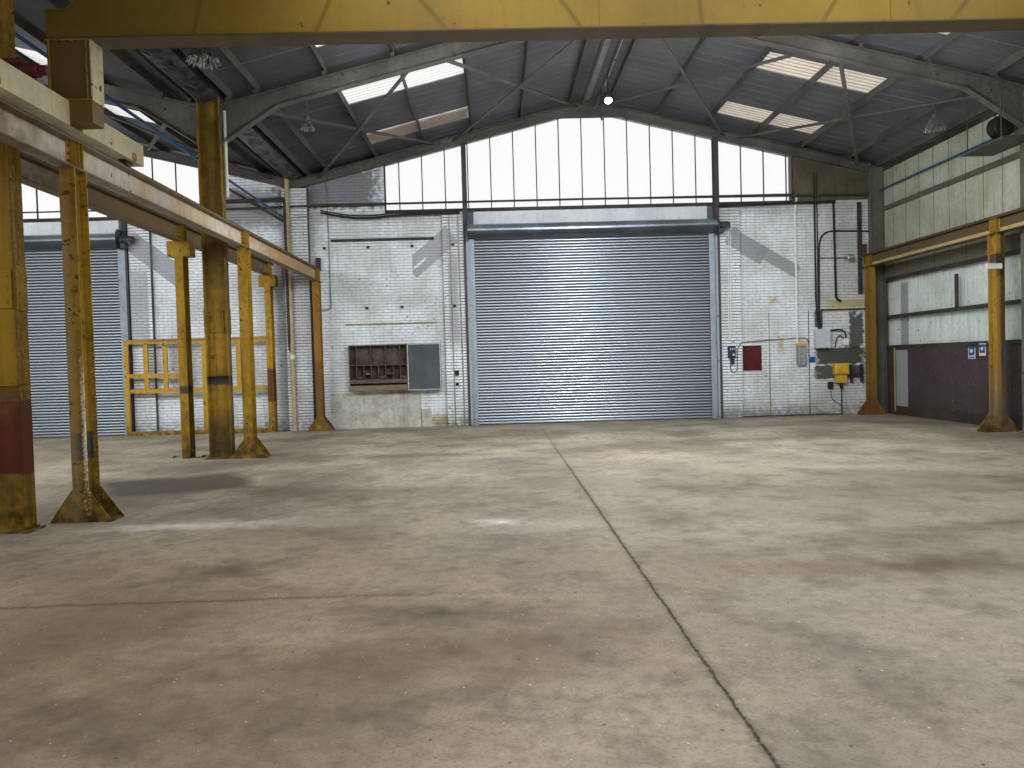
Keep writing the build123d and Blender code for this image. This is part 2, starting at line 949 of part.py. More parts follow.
def crane_wheels():
    """Double-flanged wheels on their axles, just clear of the rails."""
    solids = []
    tread = crane_rail_size / 2 + wheel_side_play
    flange_edge = tread + wheel_flange_width
    axle = flange_edge + wheel_pocket_gap
    z = crane_rail_top() + wheel_radius + running_gap
    for x in main_runway_lines():
        for y in crane_wheel_lines():
            pieces = [
                cylinder_along_x(x - flange_edge, x + flange_edge, y, z, wheel_radius),
                cylinder_along_x(x - flange_edge, x - tread, y, z, wheel_radius + wheel_flange),
                cylinder_along_x(x + tread, x + flange_edge, y, z, wheel_radius + wheel_flange),
                cylinder_along_x(x - axle, x + axle, y, z, axle_radius),
            ]
            solids.append(fuse(pieces))
    return solids


# Fence in the side nave
def guard_fence():
    """Two barred panels in one line, from the shutter guide to the first runway post."""
    y = gable_inner - side_first_post_from_gable
    left = side_centre + door_half_width + guide_width
    right = side_runway_lines()[0] - web_thickness / 2
    split = left + fence_close_bays * fence_pitch
    rails = [
        (left, right, 0), (left, right, fence_low_rail), (left, right, fence_height - fence_bar),
        (left, split - fence_pitch, fence_middle_rail),
    ]
    short_bars = [left + index * fence_pitch for index in range(1, fence_close_bays)]
    short_bars.append((split + right) / 2)
    uprights = [(x, 0) for x in (left, split)] + [(x, fence_low_rail) for x in short_bars]
    pieces = [
        (near, far, foot, foot + fence_bar) for near, far, foot in rails
    ] + [
        (x, x + fence_bar, foot, fence_height) for x, foot in uprights
    ]
    half = fence_thickness / 2
    return [fuse([
        box(near, far, y - half, y + half, floor_top + low, floor_top + high)
        for near, far, low, high in pieces
    ])]


# Fittings on the far gable, each as gap, width, foot, height and depth
cabinet = (130, 850, 970, 1190, 240)
rack = (990, 1500, 970, 1190, 220)
board = (50, 490, 1220, 650, 40)
isolator = (1614, 260, 1330, 570, 140)
switch_box = (1054, 450, 1760, 500, 200)
socket_box = (624, 380, 690, 660, 220)


def wall_fitting(start, side, sizes):
    """A box on the gable, its gap measured sideways from a start line."""
    gap, width, foot, height, depth = sizes
    edges = sorted((start + side * gap, start + side * (gap + width)))
    return box(*edges, gable_inner - depth, gable_inner, floor_top + foot, floor_top + foot + height)


def wall_rack():
    return [wall_fitting(main_centre - pier_far, -1, rack)]


def wall_boxes():
    """Boxes beside the door piers and beside the corner column."""
    column_face = wall_line - column_depth
    return [
        wall_fitting(main_centre - pier_far, -1, cabinet),
        wall_fitting(main_centre + pier_far, 1, board),
        wall_fitting(column_face, -1, isolator),
        wall_fitting(column_face, -1, switch_box),
        wall_fitting(column_face, -1, socket_box),
    ]


def main():
    os.makedirs("parts", exist_ok=True)
    save("floor_slab", floor_slab())
    save("far_gable_wall", gable_wall(1))
    save("near_gable_wall", gable_wall(-1))
    save("door_lintels", door_lintels())
    save("gable_posts", gable_posts())
    save("gable_glazing", gable_glazing())
    save("gable_sills", gable_sills())
    save("shutter_guides", shutter_guides())
    save("shutter_curtains", shutter_curtains())
    save("shutter_barrels", shutter_barrels())
    save("wall_cladding", wall_cladding())
    save("sheeting_rails", sheeting_rails())
    save("wall_kerbs", wall_kerbs())
    save("wall_dados", wall_linings(floor_top + kerb_height, dado_top))
    save("upper_linings", wall_linings(upper_lining_foot, upper_lining_top))
    save("wall_columns", wall_columns())
    save("valley_stanchions", valley_stanchions())
    save("main_rafters_right", rafters(main_centre, 1))
    save("main_rafters_left", rafters(main_centre, -1))
    save("side_rafters_right", rafters(side_centre, 1))
    save("side_rafters_left", rafters(side_centre, -1))
    save("main_purlins", purlins(main_centre))
    save("side_purlins", purlins(side_centre))
    save("main_roof_right", roof_slope(main_centre, 1))
    save("main_roof_left", roof_slope(main_centre, -1))
    save("side_roof_right", roof_slope(side_centre, 1))
    save("side_roof_left", roof_slope(side_centre, -1))
    save("rooflights", rooflights())
    save("ridge_cappings", ridge_cappings())
    save("verge_boards", verge_boards())
    save("gutters", gutters())
    save("downpipes", downpipes())
    save("roof_braces_upper", roof_braces(True))
    save("roof_braces_lower", roof_braces(False))
    save("main_runway_posts", main_runway_posts())
    save("side_runway_posts", side_runway_posts())
    save("runway_beams", runway_beams())
    save("crane_rails", crane_rails())
    save("runway_end_stops", runway_end_stops())
    save("crane_girder", crane_girder())
    save("crane_end_carriages", crane_end_carriages())
    save("crane_wheels", crane_wheels())
    save("guard_fence", guard_fence())
    save("wall_rack", wall_rack())
    save("wall_boxes", wall_boxes())


main()
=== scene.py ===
"""The looks of a two-nave factory shed with a travelling crane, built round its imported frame."""

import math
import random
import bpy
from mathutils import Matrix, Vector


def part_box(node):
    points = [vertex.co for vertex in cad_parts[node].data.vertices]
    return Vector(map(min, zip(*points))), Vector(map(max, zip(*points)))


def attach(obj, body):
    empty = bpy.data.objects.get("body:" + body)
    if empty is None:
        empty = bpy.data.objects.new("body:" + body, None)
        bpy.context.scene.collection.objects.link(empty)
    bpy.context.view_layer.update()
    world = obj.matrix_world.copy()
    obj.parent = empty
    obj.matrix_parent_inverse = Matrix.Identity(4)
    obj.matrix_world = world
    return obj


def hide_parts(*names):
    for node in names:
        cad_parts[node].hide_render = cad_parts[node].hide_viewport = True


bl_info = {
    "name": "Factory shed with travelling crane",
    "version": (1, 0, 0),
    "blender": (4, 5, 0),
    "location": "3D View > Sidebar > Factory shed",
    "description": "Bricks, shutters, sheets, boards, fittings, paint and light for a factory shed",
    "category": "Object",
}

import bpy
from mathutils import Matrix, Vector

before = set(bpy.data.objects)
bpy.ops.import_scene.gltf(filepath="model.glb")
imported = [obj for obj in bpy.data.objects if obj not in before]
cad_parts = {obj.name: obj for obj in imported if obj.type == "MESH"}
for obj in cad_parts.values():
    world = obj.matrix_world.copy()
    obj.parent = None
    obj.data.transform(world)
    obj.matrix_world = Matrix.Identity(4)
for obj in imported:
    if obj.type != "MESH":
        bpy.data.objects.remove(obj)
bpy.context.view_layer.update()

# The places that the pieces are set against, in metres
floor_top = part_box("floor_slab")[1].z
gable_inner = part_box("wall_kerbs")[1].y
gable_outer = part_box("far_gable_wall")[1].y
wall_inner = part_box("wall_columns")[1].x
rail_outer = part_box("sheeting_rails")[1].x
wall_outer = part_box("wall_cladding")[1].x
eaves_height = 6.60
nave = 7.62
slope = 0.24562
door_half = 3.05
guide_outer = 3.20
post_outer = 3.32
pier_outer = 3.87
pier_depth = 0.11
pilaster_half = 0.32
pilaster_depth = 0.20
pilaster_top = 6.3735
door_head = 5.10
sill_height = 5.70
sill_top = 5.75
window_half = 5.34
half_turn = Matrix.Rotation(math.pi, 4, "Z")
to_side_nave = Matrix.Translation((-2 * nave, 0, 0))
to_other_side = Matrix.Scale(-1, 4, (1, 0, 0))
frame_lines = (-9.144, -3.048, 3.048, 9.144)
web_seams = (2.0, 6.27, 9.41)


def roof_line(x):
    """The height of the rafters' top line above a place across the shed."""
    return eaves_height + (nave - abs(abs(x) - nave)) * slope


def linear(hex_colour):
    """An sRGB hex colour as the linear values that a shader takes."""
    values = [int(hex_colour[i : i + 2], 16) / 255 for i in (1, 3, 5)]
    return [v / 12.92 if v <= 0.04045 else ((v + 0.055) / 1.055) ** 2.4 for v in values]


def colour(label, hex_colour, about):
    """A colour that the sidebar shows."""
    return bpy.props.FloatVectorProperty(
        name=label, description=about, default=linear(hex_colour), subtype="COLOR", min=0, max=1
    )


def length(label, metres, about):
    """A length that the sidebar shows."""
    return bpy.props.FloatProperty(
        name=label, description=about, default=metres, unit="LENGTH", min=0, precision=4
    )


class ShedSizes(bpy.types.PropertyGroup):
    """Sizes of the parts that repeat"""

    brick_length: length("Brick length", 0.225, "One stretcher with its joint")
    brick_height: length("Brick course", 0.075, "One course with its joint")
    brick_joint: length("Brick joint", 0.010, "Width of the mortar joints")
    brick_end_joint: length("Brick end joint", 0.004, "Width of the joints between brick ends")
    brick_relief: length("Brick relief", 0.005, "How far a brick stands out of its joints")
    lath_height: length("Shutter lath", 0.075, "Height of one lath of a roller shutter")
    roof_wave: length("Roof wave", 0.145, "Pitch of the corrugated roof sheets")
    wall_wave: length("Wall wave", 0.0762, "Pitch of the corrugated wall sheets")
    lining_rib: length("Lining rib", 0.32222, "Pitch of the ribs of the roof lining")
    pane_width: length("Pane width", 0.594, "Spacing of the glazing bars")
    board_width: length("Upper board", 0.605, "Width of the pale boards on the side walls")
    dado_width: length("Lower board", 2.42, "Width of the brown boards on the side walls")


class ShedColours(bpy.types.PropertyGroup):
    """Main colours of the finishes"""

    brick: colour("Brick paint", "#dde2e6", "White paint on the brick gables")
    mortar: colour("Joints", "#5d6063", "Dirty joints between the bricks")
    concrete: colour("Floor", "#ada28d", "Worn power-floated concrete")
    mustard: colour("Column paint", "#8f7022", "Mustard paint of the columns and posts")
    yellow: colour("Crane paint", "#83682a", "Faded yellow paint of the crane girder")
    cream: colour("Crane cream", "#c2b78f", "Faded cream paint of the end carriages")
    fence: colour("Fence paint", "#a8862f", "Yellow paint of the fence")
    grey: colour("Roof steel", "#4b4945", "Grey paint of the roof steel")
    shutter: colour("Shutter", "#b3bec8", "Galvanised laths")
    lining: colour("Roof lining", "#5f6064", "Grey lining under the roof sheets")
    sheet: colour("Wall sheets", "#c4cbc6", "Pale coated wall sheets")
    board: colour("Upper boards", "#afb19f", "Cream-green boards")
    dado: colour("Lower boards", "#4a4043", "Dark brown boards")


# Modelling by hand: select, start a primitive, shape it, copy it
def pick(*objects):
    """Selects these objects and nothing else."""
    bpy.ops.object.select_all(action="DESELECT")
    for one in objects:
        one.select_set(True)
    bpy.context.view_layer.objects.active = objects[0]


def settle(obj):
    """Puts an object's place, turn and size into its mesh."""
    pick(obj)
    bpy.ops.object.transform_apply(location=True, rotation=True, scale=True)
    return obj


def edit(obj, test=None):
    """Opens an object's mesh with all faces selected, or those that a test of centre and normal picks."""
    pick(obj)
    bpy.ops.object.mode_set(mode="EDIT")
    bpy.ops.mesh.select_mode(type="FACE")
    bpy.ops.mesh.select_all(action="DESELECT" if test else "SELECT")
    if test:
        bpy.ops.object.mode_set(mode="OBJECT")
        for face in obj.data.polygons:
            face.select = test(face.center, face.normal)
        bpy.ops.object.mode_set(mode="EDIT")


def done():
    """Closes the open mesh and hands back its object."""
    bpy.ops.object.mode_set(mode="OBJECT")
    return bpy.context.object


def block(one, other, edge=0.003):
    """A squared block between any two opposite corners, with its edges taken off."""
    low, high = Vector(map(min, one, other)), Vector(map(max, one, other))
    bpy.ops.mesh.primitive_cube_add(size=1, location=(low + high) / 2, scale=high - low)
    obj = settle(bpy.context.object)
    edit(obj)
    widest_edge = min(high - low) * 0.3
    bpy.ops.mesh.bevel(offset=min(edge, widest_edge), segments=1, affect="EDGES")
    return done()


def place(axis, u, v, along):
    """A point given by its place on a section and its distance along the section's axis."""
    return {"x": (along, u, v), "y": (u, along, v), "z": (u, v, along)}[axis]


def section_bar(outline, axis, start, end):
    """A rolled or folded section: its outline drawn once and drawn out along an axis."""
    bpy.ops.mesh.primitive_circle_add(vertices=len(outline), fill_type="NGON")
    obj = settle(bpy.context.object)
    for vertex, (u, v) in zip(obj.data.vertices, outline):
        vertex.co = place(axis, u, v, start)
    edit(obj)
    step = Vector(place(axis, 0, 0, end - start))
    bpy.ops.mesh.extrude_region_move(TRANSFORM_OT_translate={"value": step})
    bpy.ops.mesh.select_all(action="SELECT")
    bpy.ops.mesh.normals_make_consistent(inside=False)
    return done()


def i_outline(u, v, wide, deep, web, flange):
    """The outline of an I section: wide along u, deep along v."""
    a, b, w, f = wide / 2, deep / 2, web / 2, flange
    corners = [(-a, -b), (a, -b), (a, f - b), (w, f - b), (w, b - f), (a, b - f)]
    corners += [(a, b), (-a, b), (-a, b - f), (-w, b - f), (-w, f - b), (-a, f - b)]
    return [(u + p, v + q) for p, q in corners]


def l_outline(u, v, leg_u, leg_v, thick):
    """The outline of an angle with its corner at u, v. A negative leg points the other way."""
    tu, tv = math.copysign(thick, leg_u), math.copysign(thick, leg_v)
    steps = [(0, 0), (leg_u, 0), (leg_u, tv), (tu, tv), (tu, leg_v), (0, leg_v)]
    return [(u + p, v + q) for p, q in steps]


def ring(u, v, radius, sides):
    """The outline of a round."""
    angles = [2 * math.pi * i / sides for i in range(sides)]
    return [(u + radius * math.cos(a), v + radius * math.sin(a)) for a in angles]


def rod(axis, u, v, radius, start, end, sides, edge=0.0):
    """A round bar with the rims of its ends taken off."""
    obj = section_bar(ring(u, v, radius, sides), axis, start, end)
    edit(obj, lambda centre, normal: abs(normal["xyz".index(axis)]) > 0.9)
    bpy.ops.mesh.bevel(offset=edge or radius * 0.15, segments=1, affect="EDGES")
    done()
    bpy.ops.object.shade_smooth_by_angle(angle=math.radians(40))
    return obj


def tube(points, radius, bend=0.0, sides=4):
    """A fixed pipe or clipped cable: one point drawn out along a route, its corners rounded."""
    bpy.ops.mesh.primitive_plane_add(size=0.001, location=points[0])
    obj = settle(bpy.context.object)
    edit(obj)
    bpy.ops.mesh.merge(type="CENTER")
    bpy.ops.mesh.select_mode(type="VERT")
    bpy.ops.mesh.select_all(action="SELECT")
    for last, point in zip(points, points[1:]):
        step = Vector(point) - Vector(last)
        bpy.ops.mesh.extrude_region_move(TRANSFORM_OT_translate={"value": step})
    if bend and len(points) > 2:
        bpy.ops.mesh.select_all(action="SELECT")
        bpy.ops.mesh.bevel(offset=bend, segments=5, affect="VERTICES", clamp_overlap=True)
    done()
    bpy.ops.object.convert(target="CURVE")
    curve = bpy.context.object.data
    curve.bevel_depth, curve.bevel_resolution, curve.use_fill_caps = radius, sides - 2, True
    bpy.ops.object.convert(target="MESH")
    bpy.ops.object.shade_smooth_by_angle(angle=math.radians(50))
    return bpy.context.object


def repeat(obj, step, count):
    """Copies an object's mesh along a step, as one object."""
    if count < 2:
        return obj
    pick(obj)
    bpy.ops.object.modifier_add(type="ARRAY")
    array = obj.modifiers[-1]
    array.use_relative_offset, array.use_constant_offset = False, True
    array.constant_offset_displace, array.count = step, count
    bpy.ops.object.modifier_apply(modifier=array.name)
    return obj


def thickened(obj, thick, offset=-1):
    """Gives a sheet its thickness."""
    pick(obj)
    bpy.ops.object.modifier_add(type="SOLIDIFY")
    solidify = obj.modifiers[-1]
    solidify.thickness, solidify.offset = thick, offset
    bpy.ops.object.modifier_apply(modifier=solidify.name)


def copied(obj, matrix):
    """A copy with its own mesh, moved or turned by a matrix."""
    pick(obj)
    bpy.ops.object.duplicate(linked=False)
    made = bpy.context.object
    made.data.transform(matrix)
    if matrix.determinant() < 0:
        made.data.flip_normals()
    return made


def moved(obj, x=0.0, y=0.0, z=0.0):
    """A copy moved by a distance."""
    return copied(obj, Matrix.Translation((x, y, z)))


def joined(objects):
    """Several objects as one."""
    pick(*objects)
    if len(objects) > 1:
        bpy.ops.object.join()
    return bpy.context.object


def with_copy(obj, matrix):
    """An object together with its copy, as one."""
    return joined([obj, copied(obj, matrix)])


def at_both_ends(obj):
    """An object with its like on the opposite gable or wall, half a turn round the plan."""
    return with_copy(obj, half_turn)


def at_all_doors(parts):
    """What belongs to one door, at all four doors."""
    return at_both_ends(with_copy(joined(parts), to_side_nave))


def remove(obj):
    """Deletes a pattern piece once its copies are made."""
    pick(obj)
    bpy.ops.object.delete()


def with_inset_front(obj, rim, depth):
    """Insets the face that looks along the nave, towards the camera, and sinks or raises it."""
    edit(obj, lambda centre, normal: normal.y < -0.9)
    bpy.ops.mesh.inset(thickness=rim, depth=depth)
    return done()


def trimmed(obj, point, normal):
    """Cuts off what lies on the far side of a plane."""
    edit(obj)
    bpy.ops.mesh.bisect(plane_co=point, plane_no=normal, clear_outer=True, use_fill=True)
    return done()


def dress(made, name, finish, body="building", stands_for=()):
    """Joins, names and paints a piece, ties it to its body, and hides the nodes it stands for."""
    obj = settle(joined(made) if isinstance(made, list) else made)
    obj.name = obj.data.name = name
    obj.data.materials.clear()
    obj.data.materials.append(finishes[finish])
    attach(obj, body)
    if stands_for:
        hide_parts(*stands_for)


# Finishes: each is a coat with large clouds, fine mottle, running streaks, chips, a dirty foot and marks;
# some marks and bands are painted shade, shadow, light or sheen
finishes = {}

# Sizes of what every coat's dirt is made of, in metres
mottle_size = 0.09
grit_size = 0.016
scuff_size = 0.35
streak_width = 0.08
foot_patch_size = 0.12
chip_size = 0.07
chipped_area_size = 0.55
wander_pitch = 0.2
smallest_rag = 0.03


def add(tree, kind, inputs=None, **settings):
    """Adds one node with its settings, and fills or links its sockets."""
    made = tree.nodes.new(kind)
    for key, value in settings.items():
        setattr(made, key, value)
    for socket, value in (inputs or {}).items():
        if isinstance(value, bpy.types.NodeSocket):
            tree.links.new(value, made.inputs[socket])
        else:
            made.inputs[socket].default_value = value
    return made


def clouds(tree, where, size, low, high, detail=4.0):
    """Noise with features of a real size in metres, stretched to run from 0 to 1 between two levels."""
    noise = add(tree, "ShaderNodeTexNoise", {"Vector": where, "Scale": 1 / size, "Detail": detail})
    spread = {"Value": noise.outputs["Fac"], "From Min": low, "From Max": high}
    return add(tree, "ShaderNodeMapRange", spread).outputs["Result"]


def mixed(tree, factor, first, second):
    """One colour over another."""
    both = [v if isinstance(v, bpy.types.NodeSocket) else [*v, 1.0] for v in (first, second)]
    inputs = {0: factor, 6: both[0], 7: both[1]}
    return add(tree, "ShaderNodeMix", inputs, data_type="RGBA").outputs[2]


def times(tree, first, second, operation="MULTIPLY"):
    """Two numbers multiplied, or worked on in another way."""
    return add(tree, "ShaderNodeMath", {0: first, 1: second}, operation=operation).outputs[0]


def mark_mask(tree, where, centre, half, soft, ragged, turn=(0, 0, 0), rounded=False, wander=0.0):
    """1 inside a turned box or round, 0 outside, with a soft and ragged edge, or a line that wanders."""
    if wander:
        inputs = {"Vector": where, "Scale": 1 / wander_pitch, "Detail": 8.0}
        noise = add(tree, "ShaderNodeTexNoise", inputs).outputs["Color"]
        reach = {0: noise, 1: (wander, wander, 0), 2: where}
        where = add(tree, "ShaderNodeVectorMath", reach, operation="MULTIPLY_ADD").outputs[0]
    turned = [math.radians(angle) for angle in turn]
    inputs = {"Vector": where, "Location": centre, "Rotation": turned, "Scale": half}
    local = add(tree, "ShaderNodeMapping", inputs, vector_type="TEXTURE").outputs[0]
    if rounded:
        far = add(tree, "ShaderNodeVectorMath", {0: local}, operation="LENGTH").outputs["Value"]
    else:
        size = add(tree, "ShaderNodeVectorMath", {0: local}, operation="ABSOLUTE").outputs[0]
        part = add(tree, "ShaderNodeSeparateXYZ", {0: size}).outputs
        far = times(tree, times(tree, part[0], part[1], "MAXIMUM"), part[2], "MAXIMUM")
    if ragged:
        noise = clouds(tree, where, max(min(half) * 0.8, smallest_rag), 0.3, 0.7)
        far = times(tree, far, times(tree, noise, ragged), "ADD")
    edge = {"Value": far, "From Min": 1 + soft, "From Max": 1 - soft}
    return add(tree, "ShaderNodeMapRange", edge).outputs["Result"]


def coat(
    name,
    main,
    other,
    dirt,
    cloud,
    mottle,
    streaks=0.0,
    *,
    rough,
    chips=0.0,
    rust="#5a3f28",
    foot=0.0,
    metal=0.0,
    grain=0.01,
    relief=0.0003,
    alpha=1.0,
    bands=None,
    specks=(),
    marks=(),
):
    """Builds one finish. Cloud, foot, grain and relief are in metres, the rest are shares from 0 to 1."""
    material = finishes[name] = bpy.data.materials.new(name)
    material.use_nodes = True
    tree = material.node_tree
    tree.nodes.clear()
    where = add(tree, "ShaderNodeTexCoord").outputs["Object"]
    main = linear(main) if isinstance(main, str) else main
    tone = mixed(tree, clouds(tree, where, cloud, 0.38, 0.66), main, linear(other))
    fine = times(tree, clouds(tree, where, mottle_size, 0.42, 0.7), mottle)
    tone = mixed(tree, fine, tone, linear(dirt))
    # Bands along one axis: dirt in the waves of the roof lights, and painted shade on the lower part of each
    # shutter lath
    if bands:
        way, pitch, start, share, shade = bands
        wave = {"Vector": where, "Scale": 2 * math.pi / pitch / 20, "Phase Offset": start}
        stripe = add(tree, "ShaderNodeTexWave", wave, bands_direction=way).outputs["Fac"]
        sharp = {"Value": stripe, "From Min": 0.3, "From Max": 0.7}
        stripe = add(tree, "ShaderNodeMapRange", sharp).outputs["Result"]
        tone = mixed(tree, times(tree, stripe, share), tone, linear(shade))
    if streaks:
        run = {"Vector": where, "Scale": (1, 1, 0.05)}
        drawn = add(tree, "ShaderNodeMapping", run).outputs[0]
        runs = times(tree, clouds(tree, drawn, streak_width, 0.5, 0.72), streaks)
        tone = mixed(tree, runs, tone, linear(dirt))
    if foot:
        height = add(tree, "ShaderNodeSeparateXYZ", {0: where}).outputs[2]
        low = {"Value": height, "From Min": floor_top + foot, "From Max": floor_top}
        near = add(tree, "ShaderNodeMapRange", low).outputs["Result"]
        patchy = times(tree, near, clouds(tree, where, foot_patch_size, 0.3, 0.6))
        tone = mixed(tree, patchy, tone, linear(dirt))
    cover = alpha
    for shade, strength, shape in marks:
        mask = times(tree, mark_mask(tree, where, **shape), strength)
        tone = mixed(tree, mask, tone, linear(shade))
        if alpha < 1:
            cover = times(tree, cover, times(tree, mask, 0.85), "MAXIMUM")
    if specks:
        scuffs = times(tree, clouds(tree, where, scuff_size, 0.50, 0.66, 8.0), 0.34)
        tone = mixed(tree, scuffs, tone, linear(dirt))
        grit = times(tree, clouds(tree, where, grit_size, 0.44, 0.74, 3.0), 0.36)
        tone = mixed(tree, grit, tone, linear(dirt))
    for shade, size, often in specks:
        spread = {"Vector": where, "Scale": often}
        cells = add(tree, "ShaderNodeTexVoronoi", spread, voronoi_dimensions="2D").outputs
        dot = {"Value": cells["Distance"], "From Min": size * often * 1.6, "From Max": size * often}
        dot = add(tree, "ShaderNodeMapRange", dot).outputs["Result"]
        share = add(tree, "ShaderNodeSeparateXYZ", {0: cells["Color"]}).outputs[0]
        tone = mixed(tree, times(tree, dot, share), tone, linear(shade))
    dull = rough
    if chips:
        bare = clouds(tree, where, chip_size, 0.66 - 0.22 * chips, 0.70 - 0.22 * chips, 6.0)
        bare = times(tree, bare, clouds(tree, where, chipped_area_size, 0.50, 0.58))
        tone = mixed(tree, bare, tone, linear(rust))
        wear = {"Value": bare, "To Min": rough, "To Max": 0.9}
        dull = add(tree, "ShaderNodeMapRange", wear).outputs["Result"]
    bumps = add(tree, "ShaderNodeTexNoise", {"Vector": where, "Scale": 1 / grain}).outputs["Fac"]
    bump = add(tree, "ShaderNodeBump", {"Height": bumps, "Distance": relief}).outputs["Normal"]
    shader = {"Base Color": tone, "Roughness": dull, "Metallic": metal, "Alpha": cover}
    shader["Normal"] = bump
    shader["Specular IOR Level"] = 0.5 if metal else 0.2
    surface = add(tree, "ShaderNodeBsdfPrincipled", shader).outputs[0]
    add(tree, "ShaderNodeOutputMaterial", {"Surface": surface})


def mark(shade, strength, centre, half, soft, ragged=0.0, **shape):
    """One mark of a finish: its colour, how much it covers, its place, its reach and its edge."""
    return shade, strength, {"centre": centre, "half": half, "soft": soft, "ragged": ragged, **shape}


def on_wall(shade, strength, x, z, wide, high, soft, ragged=0.0, **shape):
    """A mark on the gable's inner face, too shallow to show on its outer face."""
    return mark(shade, strength, (x, gable_inner, z), (wide, 0.16, high), soft, ragged, **shape)


def on_floor(shade, strength, x, y, wide, long, soft, ragged, **shape):
    """A mark on the floor."""
    return mark(shade, strength, (x, y, floor_top), (wide, long, 1.0), soft, ragged, **shape)


